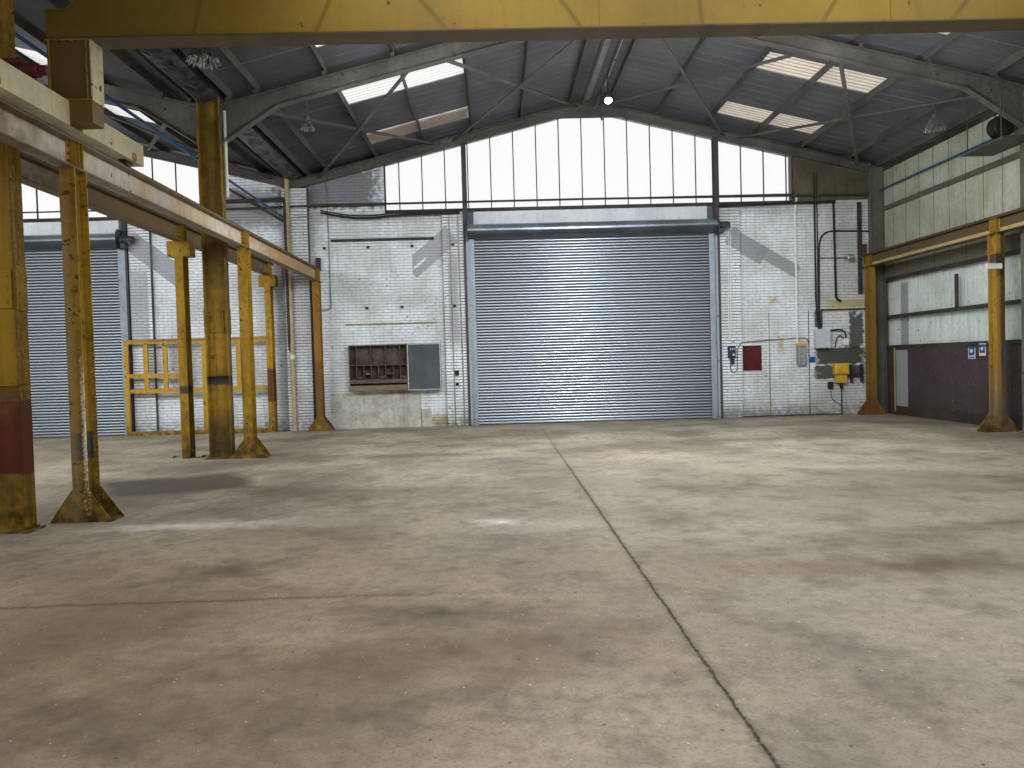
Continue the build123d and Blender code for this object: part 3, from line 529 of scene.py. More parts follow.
def make_finishes():
    """Builds every finish once."""
    shades = bpy.context.scene.shed_colours

    # White emulsion on brick: chalky and matt, greyed by soot overall, washed paler and bared where things
    # stood, with painted shadows in grey fields around the door heads and painted shade in the top corners by
    # the valley
    # Painted shadows: grey fields on the brick around the door heads and down the piers beside the doors
    painted_shadow_fields = [
        on_wall("#85868a", 0.82, 11.68, 4.64, 0.56, 0.24, 0.03, turn=(0, 31, 0)),
        on_wall("#85868a", 0.82, 12.52, 4.22, 0.60, 0.16, 0.04, turn=(0, 31, 0)),
        on_wall("#85868a", 0.72, 3.44, 4.68, 0.72, 0.26, 0.03, turn=(0, -39, 0)),
        on_wall("#85868a", 0.60, 4.00, 3.40, 0.12, 1.10, 0.2),
        on_wall("#85868a", 0.80, -3.62, 4.65, 0.84, 0.25, 0.03, turn=(0, 39, 0)),
        on_wall("#85868a", 0.60, -4.05, 3.50, 0.22, 0.90, 0.10),
    ]
    worn_patches = [
        on_wall("#dfe2e4", 0.80, 3.14, 4.40, 0.20, 0.03, 0.2, turn=(0, -39, 0)),
        on_wall("#d0d4d7", 1.00, 2.75, 4.20, 0.20, 0.60, 0.02),
        on_wall("#d9d6ca", 0.70, 1.88, 0.62, 1.15, 0.50, 0.3, 0.5),
        on_wall("#a8904e", 0.75, 3.55, 0.30, 0.30, 0.16, 0.4, 0.6),
        on_wall("#b39a55", 0.70, 12.39, 3.21, 0.15, 0.12, 0.4, 0.6),
        on_wall("#b39a55", 0.70, 12.56, 2.02, 0.09, 0.25, 0.4, 0.6),
        on_wall("#dcdad2", 0.75, 14.05, 2.85, 0.38, 0.27, 0.3, 0.4),
        on_wall("#8e8b80", 0.55, 14.30, 4.30, 0.80, 1.60, 0.5, 0.5),
        on_wall("#8b887d", 0.60, 7.62, 5.62, 8.00, 0.16, 0.6, 0.6),
        on_wall("#77746b", 0.60, 7.62, 0.22, 8.00, 0.14, 0.6, 0.7),
        on_wall("#98917e", 0.45, 14.20, 0.75, 1.10, 0.75, 0.5, 0.5),
        mark("#7e7b72", 0.50, (0.0, gable_inner, 3.5), (0.55, 0.6, 3.4), 0.5, 0.5),
    ]
    dark_marks_and_valley_shade = [
        # Painted shade on the brick in the top corners either side of the valley
        on_wall("#54565a", 0.80, 0.8, 6.36, 1.50, 0.56, 0.1, 0.3),
        on_wall("#66686b", 0.70, -1.4, 5.90, 1.10, 0.60, 0.3, 0.4),
        on_wall("#a3935a", 0.80, 14.30, 3.06, 0.62, 0.13, 0.2, 0.4),
        on_wall("#3f3a35", 0.95, 14.10, 1.69, 0.76, 0.25, 0.1, 0.25),
        on_wall("#3f3a35", 0.92, 14.08, 1.27, 0.74, 0.20, 0.1, 0.25),
        on_wall("#3b3632", 0.90, 13.56, 2.68, 0.12, 0.25, 0.1, 0.25),
        on_wall("#3f3a35", 0.90, 14.56, 2.36, 0.22, 0.56, 0.1, 0.35),
    ]
    coat(
        "white_emulsion_on_brick", shades.brick, "#c3c6c7", "#7c7a72", 0.9, 0.22, 0.16,
        chips=0.10, rust="#857e70", foot=0.5, rough=0.85, grain=0.012, relief=0.0012,
        marks=painted_shadow_fields + worn_patches + dark_marks_and_valley_shade,
    )
    # Sooty mortar: the same white paint, thinner and dirtier in the joints, with the same painted shadows and
    # corner shade as the bricks
    coat(
        "sooty_mortar", shades.mortar, "#65666a", "#4c4a46", 0.7, 0.4, 0.2,
        rough=0.9, grain=0.006, relief=0.001, marks=painted_shadow_fields + dark_marks_and_valley_shade,
    )
    # Power-floated concrete: flat and matt, with dust, oil, tyre-dark clouds, one sawn joint and a painted
    # sheen of window light over the middle
    coat(
        "power_floated_concrete", shades.concrete, "#7a7061", "#4d4439", 1.6, 0.42,
        specks=[("#d8d2c6", 0.0045, 1.7), ("#453b2e", 0.006, 2.3), ("#e0dccf", 0.003, 4.1)],
        rough=0.66, grain=0.03, relief=0.0008,
        marks=[
            # Painted sheen of window light, lightening the middle of the floor
            on_floor("#b3a996", 0.48, 8.8, 3.8, 6.0, 5.4, 0.6, 0.5, rounded=True),
            on_floor("#94713f", 0.46, 1.8, -0.6, 4.2, 3.4, 0.7, 0.6, rounded=True),
            on_floor("#918376", 0.40, 9.0, -1.2, 3.6, 2.2, 0.7, 0.7, rounded=True),
            on_floor("#3f3932", 0.85, 0.45, 5.95, 1.05, 1.0, 0.15, 0.35, turn=(0, 0, 24)),
            on_floor("#5b5042", 0.55, 0.8, 8.4, 1.6, 0.7, 0.5, 0.7),
            on_floor("#dcd8cf", 0.85, 1.75, 3.0, 0.75, 0.14, 0.8, 0.8),
            on_floor("#cfc9bd", 0.40, 2.3, 3.06, 1.25, 0.30, 0.9, 1.0),
            on_floor("#e6e3dc", 0.90, 5.06, 2.71, 0.24, 0.13, 0.8, 0.7),
            on_floor("#d5cfc4", 0.40, 5.6, 2.5, 0.60, 0.32, 0.9, 1.0),
            on_floor("#b8b2a6", 0.45, 10.55, 4.2, 0.85, 0.014, 0.6, 0.6, turn=(0, 0, -47)),
            on_floor("#c9c4b8", 0.45, 9.9, 5.75, 0.8, 0.16, 0.9, 1.0),
            on_floor("#c9c4b8", 0.50, 12.3, 6.9, 0.6, 0.12, 0.9, 1.0),
            on_floor("#5e4a38", 0.75, 8.2, 0.65, 0.9, 0.28, 0.7, 0.9),
            on_floor("#4f4232", 0.75, 4.75, -0.08, 0.65, 0.25, 0.7, 0.9),
            on_floor("#4f4232", 0.70, 2.75, 1.1, 0.50, 0.35, 0.7, 0.9),
            on_floor("#4f4435", 0.65, 3.5, -1.5, 0.8, 0.30, 0.7, 0.9),
            on_floor("#5b4f42", 0.60, 9.6, 9.6, 2.6, 0.5, 0.7, 0.9),
            on_floor("#5e452c", 0.50, 2.6, 0.42, 2.7, 0.05, 0.6, 0.8, wander=0.10),
            on_floor("#3b2c1c", 0.85, 2.6, 0.42, 2.6, 0.013, 0.4, 0.9, wander=0.10),
            on_floor("#5a4c3a", 0.45, 4.2, 8.6, 2.8, 0.35, 0.8, 1.0),
            on_floor("#584b3c", 0.45, 3.2, 5.0, 1.6, 0.30, 0.8, 1.0, turn=(0, 0, -8)),
            on_floor("#57493a", 0.60, 9.6, 1.9, 2.4, 0.25, 0.8, 1.0, turn=(0, 0, 12)),
            on_floor("#6b5036", 0.55, 4.0, -0.9, 1.6, 0.35, 0.8, 1.0, turn=(0, 0, 6)),
            on_floor("#7d6148", 0.40, 6.9, 0.7, 0.9, 0.5, 0.6, 0.7, rounded=True),
            on_floor("#6f5c48", 0.35, 2.5, 0.2, 2.2, 0.5, 0.6, 0.7, rounded=True),
            on_floor("#5e574d", 0.45, 10.5, 0.8, 1.6, 1.0, 0.6, 0.7, rounded=True),
            on_floor("#5a544b", 0.50, 14.3, 9.5, 0.9, 5.0, 0.6, 0.6),
            on_floor("#5a544b", 0.50, 0.3, 8.5, 0.8, 6.5, 0.6, 0.6),
            on_floor("#5b4f3f", 0.55, 6.13, 0.0, 0.040, 16.0, 0.6, 0.9, wander=0.03),
            on_floor("#2b261f", 0.95, 6.13, 0.0, 0.015, 16.0, 0.3, 0.9, wander=0.03),
        ],
    )
    # Mustard enamel on rolled steel: brushed on thick, gone brown with grease, rusty at feet and edges, with
    # painted shade over the upper part of the middle valley stanchion
    coat(
        "mustard_enamel_on_steel", shades.mustard, "#a6812a", "#42321a", 0.6, 0.35, 0.60,
        chips=0.30, foot=1.0, rough=0.5, grain=0.01, relief=0.0004,
        marks=[
            mark("#5a2220", 0.92, (0.0, 3.05, 1.12), (0.23, 0.3, 0.38), 0.03),
            mark("#3c3a38", 0.90, (0.0, 3.05, 1.55), (0.23, 0.3, 0.06), 0.3, 0.4),
            mark("#39404a", 0.85, (0.48, 3.52, 0.97), (0.09, 0.14, 0.15), 0.05),
            mark("#e4e0d4", 0.90, (0.61, 3.40, 1.15), (0.035, 0.2, 0.75), 0.5, 0.9),
            mark("#7a5226", 0.75, (0.53, 14.72, 2.60), (0.4, 0.4, 1.50), 0.4, 0.3),
            mark("#5c3d24", 0.80, (0.53, 14.72, 1.00), (0.4, 0.4, 1.10), 0.2, 0.5),
            mark("#6e5228", 0.80, (14.77, 14.72, 2.20), (0.4, 0.4, 2.30), 0.4, 0.3),
            mark("#463319", 0.85, (14.83, 9.72, 2.20), (0.065, 0.4, 2.20), 0.1, 0.3),
            mark("#9c7d42", 0.60, (14.70, 9.72, 2.20), (0.07, 0.4, 2.10), 0.2, 0.4),
            mark("#a8841a", 0.60, (0.0, 3.048, 2.60), (0.17, 0.3, 1.10), 0.3, 0.3),
            # Painted shade over the upper part of the middle valley stanchion
            mark("#3a2c16", 0.72, (0.0, 9.144, 4.90), (0.3, 0.3, 2.40), 0.3, 0.4),
            mark("#a08a62", 0.70, (0.44, 3.40, 1.90), (0.10, 0.03, 2.10), 0.4, 0.4),
            mark("#33281a", 0.80, (0.18, 3.048, 2.40), (0.05, 0.3, 2.40), 0.6, 0.7),
            mark("#5e3c22", 0.75, (14.77, 14.72, 0.40), (0.4, 0.4, 0.50), 0.5, 0.5),
            mark("#6e665b", 0.60, (14.77, 9.72, 0.80), (0.4, 0.4, 0.65), 0.5, 0.8),
            mark("#2a5688", 0.90, (14.87, 9.72, 1.59), (0.05, 0.2, 0.23), 0.03),
            mark("#3a3027", 0.70, (0.0, 9.144, 0.55), (0.3, 0.3, 0.45), 0.4, 0.6),
            mark("#35393f", 0.85, (0.0, 9.144, 1.58), (0.3, 0.3, 0.10), 0.2, 0.3),
            mark("#4d2320", 0.85, (-0.70, 14.77, 1.35), (0.2, 0.3, 0.42), 0.1),
            mark("#31343a", 0.85, (-0.70, 9.37, 1.42), (0.2, 0.3, 0.07), 0.2),
        ],
    )
    # Faded cream paint on the runway webs, rusted through along the flanges where the wheels shake it; the
    # dark flange bands also carry painted shade under the flanges, and the right runway's web has painted
    # shade above a painted lit band
    coat(
        "cream_runway_paint", "#bfab8a", "#c9c5bb", "#75583a", 0.9, 0.22, 0.35,
        chips=0.22, rust="#6b5138", rough=0.55,
        marks=[
            # Painted shade over the right runway's web, with a painted lit band along its foot below
            mark("#47351c", 0.95, (14.77, 3.0, 4.12), (0.3, 17, 0.2), 0.2, 0.2),
            mark("#b39d66", 0.90, (14.77, 3.0, 4.035), (0.3, 17, 0.035), 0.2),
            mark("#9a7034", 0.75, (0.53, 12.6, 4.12), (0.3, 3.6, 0.2), 0.5, 0.5),
            mark("#57441d", 0.90, (-0.70, 9.4, 4.30), (0.3, 7.0, 0.2), 0.3, 0.2),
            mark("#5e4932", 0.80, (0.53, 2.0, 4.12), (0.3, 1.6, 0.3), 0.5, 0.8),
            # Dark flange bands: rust, and painted shade on the flanges' undersides
            mark("#3c2c12", 0.95, (7.65, 0, 4.262), (7.4, 17, 0.022), 0.1),
            mark("#33260f", 0.95, (7.65, 0, 3.980), (7.4, 17, 0.024), 0.1),
            mark("#3c2c12", 0.95, (-7.62, 0, 4.442), (7.2, 17, 0.022), 0.1),
            mark("#3f2e12", 0.95, (-7.62, 0, 4.162), (7.2, 17, 0.028), 0.1),
        ],
    )
    # Yellow crane enamel, sprayed and faded, with panel seams, an oily brown bottom flange, painted shadow
    # lines across the web and painted shade over its left end
    seams = [mark("#6f5d2c", 0.75, (x, 3.4, 5.5), (0.006, 0.4, 0.4), 0.3) for x in web_seams]
    stains = [
        mark("#2f2c2a", 0.80, (x, 3.3, 5.29), (w, 0.4, 0.016), 0.5, 0.9)
        for x, w in ((2.38, 0.10), (2.93, 0.3), (7.45, 0.12), (8.02, 0.10), (12.5, 0.4))
    ]
    shadow_lines = [
        mark("#5e4a1e", 0.65, (x, 3.3, 5.53), (0.022, 0.2, 0.30), 0.6, turn=(0, tilt, 0))
        for x, tilt in ((2.02, 12), (3.36, 25), (4.45, -40), (5.91, -35), (7.35, -6), (8.81, 32), (10.26, 40))
    ]
    coat(
        "yellow_crane_enamel", shades.yellow, "#94792b", "#5f4e20", 1.6, 0.14, 0.14,
        chips=0.03, rough=0.42,
        marks=[
            # Painted shade over the left end of the girder
            mark("#3a2c10", 0.52, (0.3, 3.4, 5.6), (1.7, 0.4, 0.6), 0.8),
            mark("#4c4335", 0.92, (7.6, 3.4, 5.285), (7.4, 0.4, 0.022), 0.1),
        ] + seams + shadow_lines + stains,
    )
    # Cream crane enamel on the end carriages, with mustard on the stools; the near stool's right face stays
    # cream as a painted lit face
    coat(
        "cream_crane_enamel", shades.cream, "#b0a888", "#5d5340", 0.6, 0.18, 0.25, chips=0.15, rough=0.45,
        marks=[
            # Mustard on the near stool, stopping short of its right face, which stays cream as a painted lit
            # face
            mark("#543f14", 0.95, (0.62, 3.42, 4.96), (0.255, 0.3, 0.315), 0.01),
            mark("#5e481a", 0.95, (0.755, 3.42, 4.53), (0.130, 0.123, 0.15), 0.01),
            mark("#5e481a", 0.95, (14.68, 3.42, 4.96), (0.255, 0.3, 0.315), 0.01),
        ],
    )
    # Bare rail steel: brown rust with a bright head
    coat("bare_rail_steel", "#4d4037", "#5d4a3a", "#2c241e", 0.4, 0.4, rough=0.6, metal=0.4)
    # Fence enamel: bright yellow, chipped to the primer
    coat(
        "yellow_fence_enamel", shades.fence, "#a98530", "#5a4426", 0.5, 0.2, 0.3,
        chips=0.35, foot=0.4, rough=0.45,
        marks=[mark("#7c4f2c", 0.8, (-2.6, 14.77, 2.57), (2.0, 0.1, 0.04), 0.3, 0.5)],
    )
    # Grey roof-steel paint: dull, dusty on top, brown where the damp comes in
    coat(
        "grey_roof_steel_paint", shades.grey, "#625f59", "#2c2924", 0.9, 0.25, 0.20,
        chips=0.15, rust="#3a322a", rough=0.65,
    )
    # Dark lead paint on the gable posts, gone to brown rust below the sill
    overspray = [
        mark("#93a0aa", 0.85, (side * (nave + turn * 3.225), 0, 2.6), (0.033, 17, 2.50), 0.1)
        for side in (-1, 1) for turn in (-1, 1)
    ]
    coat(
        "rusty_dark_post_paint", "#3d3e41", "#4c4844", "#2a2520", 0.8, 0.3, 0.4,
        chips=0.30, rough=0.65, marks=overspray,
    )
    # Grey-green column paint in the wall, dull and dusty
    coat("grey_green_column_paint", "#55574b", "#64655a", "#36352d", 0.8, 0.3, 0.4, chips=0.2, rough=0.6)
    # Dark bitumen paint on sills, stops and rails
    coat("dark_bitumen_paint", "#33312e", "#46403a", "#1f1d1b", 0.5, 0.3, 0.2, chips=0.25, rough=0.55)
    # Cast concrete lintels painted grey
    coat("grey_lintel_paint", "#d3d8da", "#c3c8ca", "#85857f", 0.8, 0.15, 0.2, rough=0.75, relief=0.0008)
    # Galvanised laths: zinc spangle, cloudy grey-blue, shiny enough to carry one long highlight, with a
    # painted dark band on the lower part of every lath for its shaded underside
    coat(
        "galvanised_laths", shades.shutter, "#b4bec7", "#7b838a", 2.5, 0.03, 0.05,
        rough=0.28, metal=0.65, grain=0.02, relief=0.00005, bands=("Z", 0.075, 2.6, 0.85, "#1f252b"),
    )
    # Galvanised channels and end plates, duller and dirtier
    coat(
        "galvanised_channel", "#98a4ad", "#8b969e", "#5d6266", 0.4, 0.2, 0.25,
        rough=0.5, metal=0.3, chips=0.1,
    )
    # Laths wound on the barrel: bright zinc, with painted shade over the underside of the coil
    coat(
        "wound_zinc", "#8d98a2", "#a9b4be", "#4b5258", 0.5, 0.2, rough=0.30, metal=0.75,
        # Painted shade along the underside of the coil
        marks=[mark("#23282d", 0.75, (0, 0, 5.02), (20, 20, 0.13), 0.15)],
    )
    # End plates and drives above the doors: zinc, black with grease and dust
    coat("greasy_dark_zinc", "#474d54", "#5a6067", "#25282b", 0.3, 0.35, 0.3, rough=0.45, metal=0.5)
    # Clear wired glass with dust
    coat("dusty_clear_glass", "#eef2f2", "#dfe6e6", "#b9bdb6", 1.0, 0.2, rough=0.15, alpha=0.04)
    # Glass-fibre roof sheet: milky, with dirt lying in every wave
    coat(
        "milky_fibreglass_sheet", "#f6ead2", "#e6d4b2", "#a58c68", 0.7, 0.15,
        rough=0.5, alpha=0.50, bands=("Y", 0.145, 0.0, 0.6, "#6e5433"),
    )
    # The same sheet renewed: clear and white, one light still brown with old dirt
    coat(
        "renewed_fibreglass_sheet", "#fbfaf6", "#f3f0e8", "#d9d2c0", 0.7, 0.1, rough=0.5, alpha=0.15,
        marks=[mark("#6e5636", 0.90, (nave - 4.28, 14.4, 7.3), (1.6, 1.0, 1.0), 0.2, 0.2)],
    )
    # Fibre-cement roof sheet: weathered grey outside, with lichen and runs
    coat(
        "weathered_fibre_cement", "#7d7f7c", "#94938c", "#4c4d47", 1.4, 0.35,
        rough=0.92, grain=0.01, relief=0.001,
    )
    # Lining sheets: smooth grey skins, mottled with soot, with painted shade over the lining either side of
    # the valley
    coat(
        "grey_lining_and_valley_shade", shades.lining, "#525357", "#35363a", 1.4, 0.25, rough=0.8,
        # Painted shade over the lining either side of the valley
        marks=[mark("#303136", 0.60, (0, 3, 6.8), (2.9, 17, 1.2), 0.3, 0.3)],
    )
    # Coated steel wall sheet: pale, stained at the fixings
    coat(
        "pale_coated_sheet", shades.sheet, "#b1b8b2", "#77786c", 0.9, 0.2, 0.35, rough=0.5, chips=0.05,
        marks=[mark("#777d7b", 0.80, (15.3, 14.29, 2.6), (0.4, 0.18, 0.9), 0.05)],
    )
    # Cement board: flat cream-green, runs from the eaves, with a painted shadow band on the boards below the
    # runway
    coat(
        "cream_green_board", shades.board, "#9b9c86", "#6d6b57", 1.1, 0.25, 0.40, rough=0.8,
        # Painted shadow on the boards below the runway beam
        marks=[mark("#4c4a3a", 0.85, (15.27, 0, 3.67), (0.3, 17, 0.34), 0.06)],
    )
    # The same board on the gable, brown with damp
    coat("damp_brown_board", "#5c5845", "#4c4838", "#2f2c22", 0.8, 0.3, 0.40, rough=0.8)
    # Brown-painted plywood: scuffed at trolley height
    coat(
        "brown_painted_plywood", shades.dado, "#423838", "#2b2522", 0.7, 0.3, 0.25,
        chips=0.04, rust="#85796c", rough=0.6, foot=0.4,
        marks=[mark("#8d9492", 0.95, (15.25, 14.18, 1.0), (0.2, 0.30, 1.2), 0.02)],
    )
    # Grey foil lagging: crinkled, dull aluminium
    coat("crinkled_grey_lagging", "#36383b", "#5a5d60", "#18191a", 0.25, 0.5, rough=0.28, metal=0.55)
    # White plastic and painted iron pipe
    coat("off_white_pipe", "#c9c6ba", "#b4b0a2", "#6c6555", 0.5, 0.2, 0.4, rough=0.4)
    coat("dirty_cream_pipe", "#9d9070", "#a89b7b", "#54492f", 0.5, 0.3, 0.5, rough=0.55)
    # Powder-coated sheet steel of cabinets and boxes
    coat("grey_cabinet_enamel", "#454d51", "#4f575b", "#2f3335", 0.5, 0.15, 0.2, chips=0.06, rough=0.4)
    coat("pale_grey_enamel", "#7e8789", "#8a9293", "#4b4f50", 0.4, 0.2, 0.3, chips=0.06, rough=0.4)
    coat("light_grey_enamel", "#b9bcc0", "#aeb2b6", "#7a7c7e", 0.4, 0.12, 0.2, rough=0.45)
    coat("dark_tray_enamel", "#3f3f38", "#4a4a42", "#262622", 0.4, 0.2, 0.3, rough=0.5)
    # Pale worn softwood, handled until the paint went
    coat("pale_worn_timber", "#6c6253", "#7a7060", "#3a3228", 0.3, 0.3, 0.2, chips=0.2, rough=0.8)
    # Faded yellow paint on battens, angles and pipes
    coat("faded_yellow_timber", "#8f8455", "#7d7148", "#4a3d28", 0.4, 0.3, 0.35, chips=0.2, rough=0.7)
    # Weathered softwood of the pigeon-hole rack
    coat("old_brown_timber", "#554a42", "#65584d", "#241f1a", 0.25, 0.45, rough=0.85, relief=0.0008)
    # Small parts: rubber sheath, zinc conduit, gloss paint, plastic mouldings, enamel, cement and foil
    coat("black_cable_sheath", "#1c1b1b", "#2b2a29", "#4d483f", 0.4, 0.2, rough=0.5)
    coat("galvanised_conduit", "#94938b", "#84827a", "#54503f", 0.3, 0.2, rough=0.4, metal=0.4)
    coat("blue_water_pipe", "#23456b", "#2c5078", "#1c2b3a", 0.5, 0.2, rough=0.4)
    coat("maroon_painted_board", "#4a191d", "#562124", "#2b1516", 0.25, 0.25, rough=0.55)
    coat("yellow_socket_plastic", "#c3a233", "#b39233", "#4f4426", 0.2, 0.25, rough=0.5)
    coat("dark_blue_moulding", "#27364a", "#2e3f55", "#15191f", 0.2, 0.2, rough=0.45)
    coat("red_plug_plastic", "#571f22", "#632729", "#241213", 0.1, 0.25, rough=0.45)
    coat("white_moulding", "#d8d8d2", "#c9c8c0", "#8c897c", 0.2, 0.15, rough=0.45)
    coat("blue_sign_enamel", "#1d4a93", "#1d4a93", "#1c3c6a", 0.2, 0.1, rough=0.4)
    coat("patched_cement_render", "#b9b8b0", "#a19d92", "#7a7466", 0.35, 0.4, 0.3, rough=0.9, relief=0.001)
    coat("crumpled_foil", "#e6eaee", "#c2c7cc", "#6a6f75", 0.05, 0.2, rough=0.15, metal=0.9)


def lamp_finish(name, strength):
    """Lamp glass: a white disc that shines."""
    material = finishes[name] = bpy.data.materials.new(name)
    material.use_nodes = True
    shader = material.node_tree.nodes["Principled BSDF"]
    shader.inputs["Base Color"].default_value = (1, 1, 1, 1)
    shader.inputs["Emission Color"].default_value = (1, 0.98, 0.94, 1)
    shader.inputs["Emission Strength"].default_value = strength


# Brickwork
def brick_field(low_x, high_x, low_z, high_z, face, way, deep=0.0):
    """Stretcher bond fitted to a rectangle. Each brick narrows a little towards its front face."""
    sizes = bpy.context.scene.shed_sizes
    joint, relief, course = sizes.brick_joint, sizes.brick_relief, sizes.brick_height
    end_joint = sizes.brick_end_joint
    count = max(1, round((high_x - low_x) / sizes.brick_length))
    courses = math.ceil((high_z - low_z) / course - 0.01)
    long = (high_x - low_x) / count
    front = face + way * (deep + relief)

    def brick(start, wide, bottom):
        low = Vector((start + end_joint / 2, min(face, front), bottom + joint / 2))
        high = Vector((start + wide - end_joint / 2, max(face, front), bottom + course - joint / 2))
        centre = (low + high) / 2
        bpy.ops.mesh.primitive_cube_add(size=1, location=centre, scale=high - low)
        obj = settle(bpy.context.object)
        edit(obj, lambda c, normal: normal.y * way > 0.9)
        narrow = (1 - relief / wide, 1, 1 - 2 * relief / (course - joint))
        bpy.ops.transform.resize(value=narrow, center_override=(centre.x, front, centre.z))
        return done()

    rows = [repeat(brick(low_x, long, low_z), (long, 0, 0), count)]
    if courses > 1:
        rows.append(brick(low_x, long / 2, low_z + course))
        rows.append(brick(high_x - long / 2, long / 2, low_z + course))
        if count > 1:
            stretchers = brick(low_x + long / 2, long, low_z + course)
            rows.append(repeat(stretchers, (long, 0, 0), count - 1))
    field = repeat(joined(rows), (0, 0, 2 * course), math.ceil(courses / 2))
    if low_z + 2 * course * math.ceil(courses / 2) > high_z + joint:
        field = trimmed(field, (0, 0, high_z), (0, 0, 1))
    return field


def under_roof(field):
    """Cuts bricks to the slope, as a bricklayer does under a verge."""
    field = trimmed(field, (0, 0, eaves_height), (-slope, 0, 1))
    return trimmed(field, (2 * nave, 0, eaves_height), (slope, 0, 1))


class SHED_OT_brickwork(bpy.types.Operator):
    """Lays the bricks of both gables, inside and outside, over the walls that serve as joints"""

    bl_idname = "shed.brickwork"
    bl_label = "Brickwork"

    def execute(self, context):
        y, out = gable_inner, gable_outer
        near_pier, far_pier = nave - pier_outer, nave + pier_outer
        top = roof_line(nave - window_half)
        inner = [
            brick_field(pilaster_half, near_pier, floor_top, sill_height, y, -1),
            brick_field(near_pier, nave - post_outer, floor_top, sill_height, y, -1, pier_depth),
            brick_field(nave + post_outer, far_pier, floor_top, sill_height, y, -1, pier_depth),
            brick_field(far_pier, wall_inner, floor_top, sill_height, y, -1),
            under_roof(brick_field(pilaster_half, nave - window_half, sill_height, top, y, -1)),
            under_roof(brick_field(nave + window_half, wall_inner, sill_height, top, y, -1)),
        ]
        inner = with_copy(joined(inner), to_other_side)
        pilaster = brick_field(
            -pilaster_half, pilaster_half, floor_top, pilaster_top, y, -1, pilaster_depth
        )
        bricks = at_both_ends(joined([inner, pilaster]))
        paint = "white_emulsion_on_brick"
        dress(bricks, "bricks_inside", paint)
        outer = [
            brick_field(0, nave - door_half, floor_top, sill_height, out, 1),
            brick_field(nave + door_half, rail_outer, floor_top, sill_height, out, 1),
            under_roof(brick_field(0, nave - window_half, sill_height, top, out, 1)),
            under_roof(brick_field(nave + window_half, rail_outer, sill_height, top, out, 1)),
        ]
        bricks = at_both_ends(with_copy(joined(outer), to_other_side))
        dress(bricks, "bricks_outside", paint)
        return {"FINISHED"}


# Doors
lath_bulge = 0.017
lath_skin = 0.0015
lath_steps = 8
rail_height = 0.075
barrel_radius = 0.21
coil_radius = 0.172
coil_edges = 54
end_plate_half = 0.25
end_plate_thickness = 0.010


def lath_outline(y, bottom, high):
    """One lath seen from its end: a bowed face between two hooked edges."""
    front = []
    for step in range(lath_steps + 1):
        share = step / lath_steps
        bow = math.sin(math.pi * share) ** 0.8
        front.append((y - lath_bulge * bow, bottom + high * share))
    back = [(u + lath_skin, v) for u, v in reversed(front)]
    return front + back


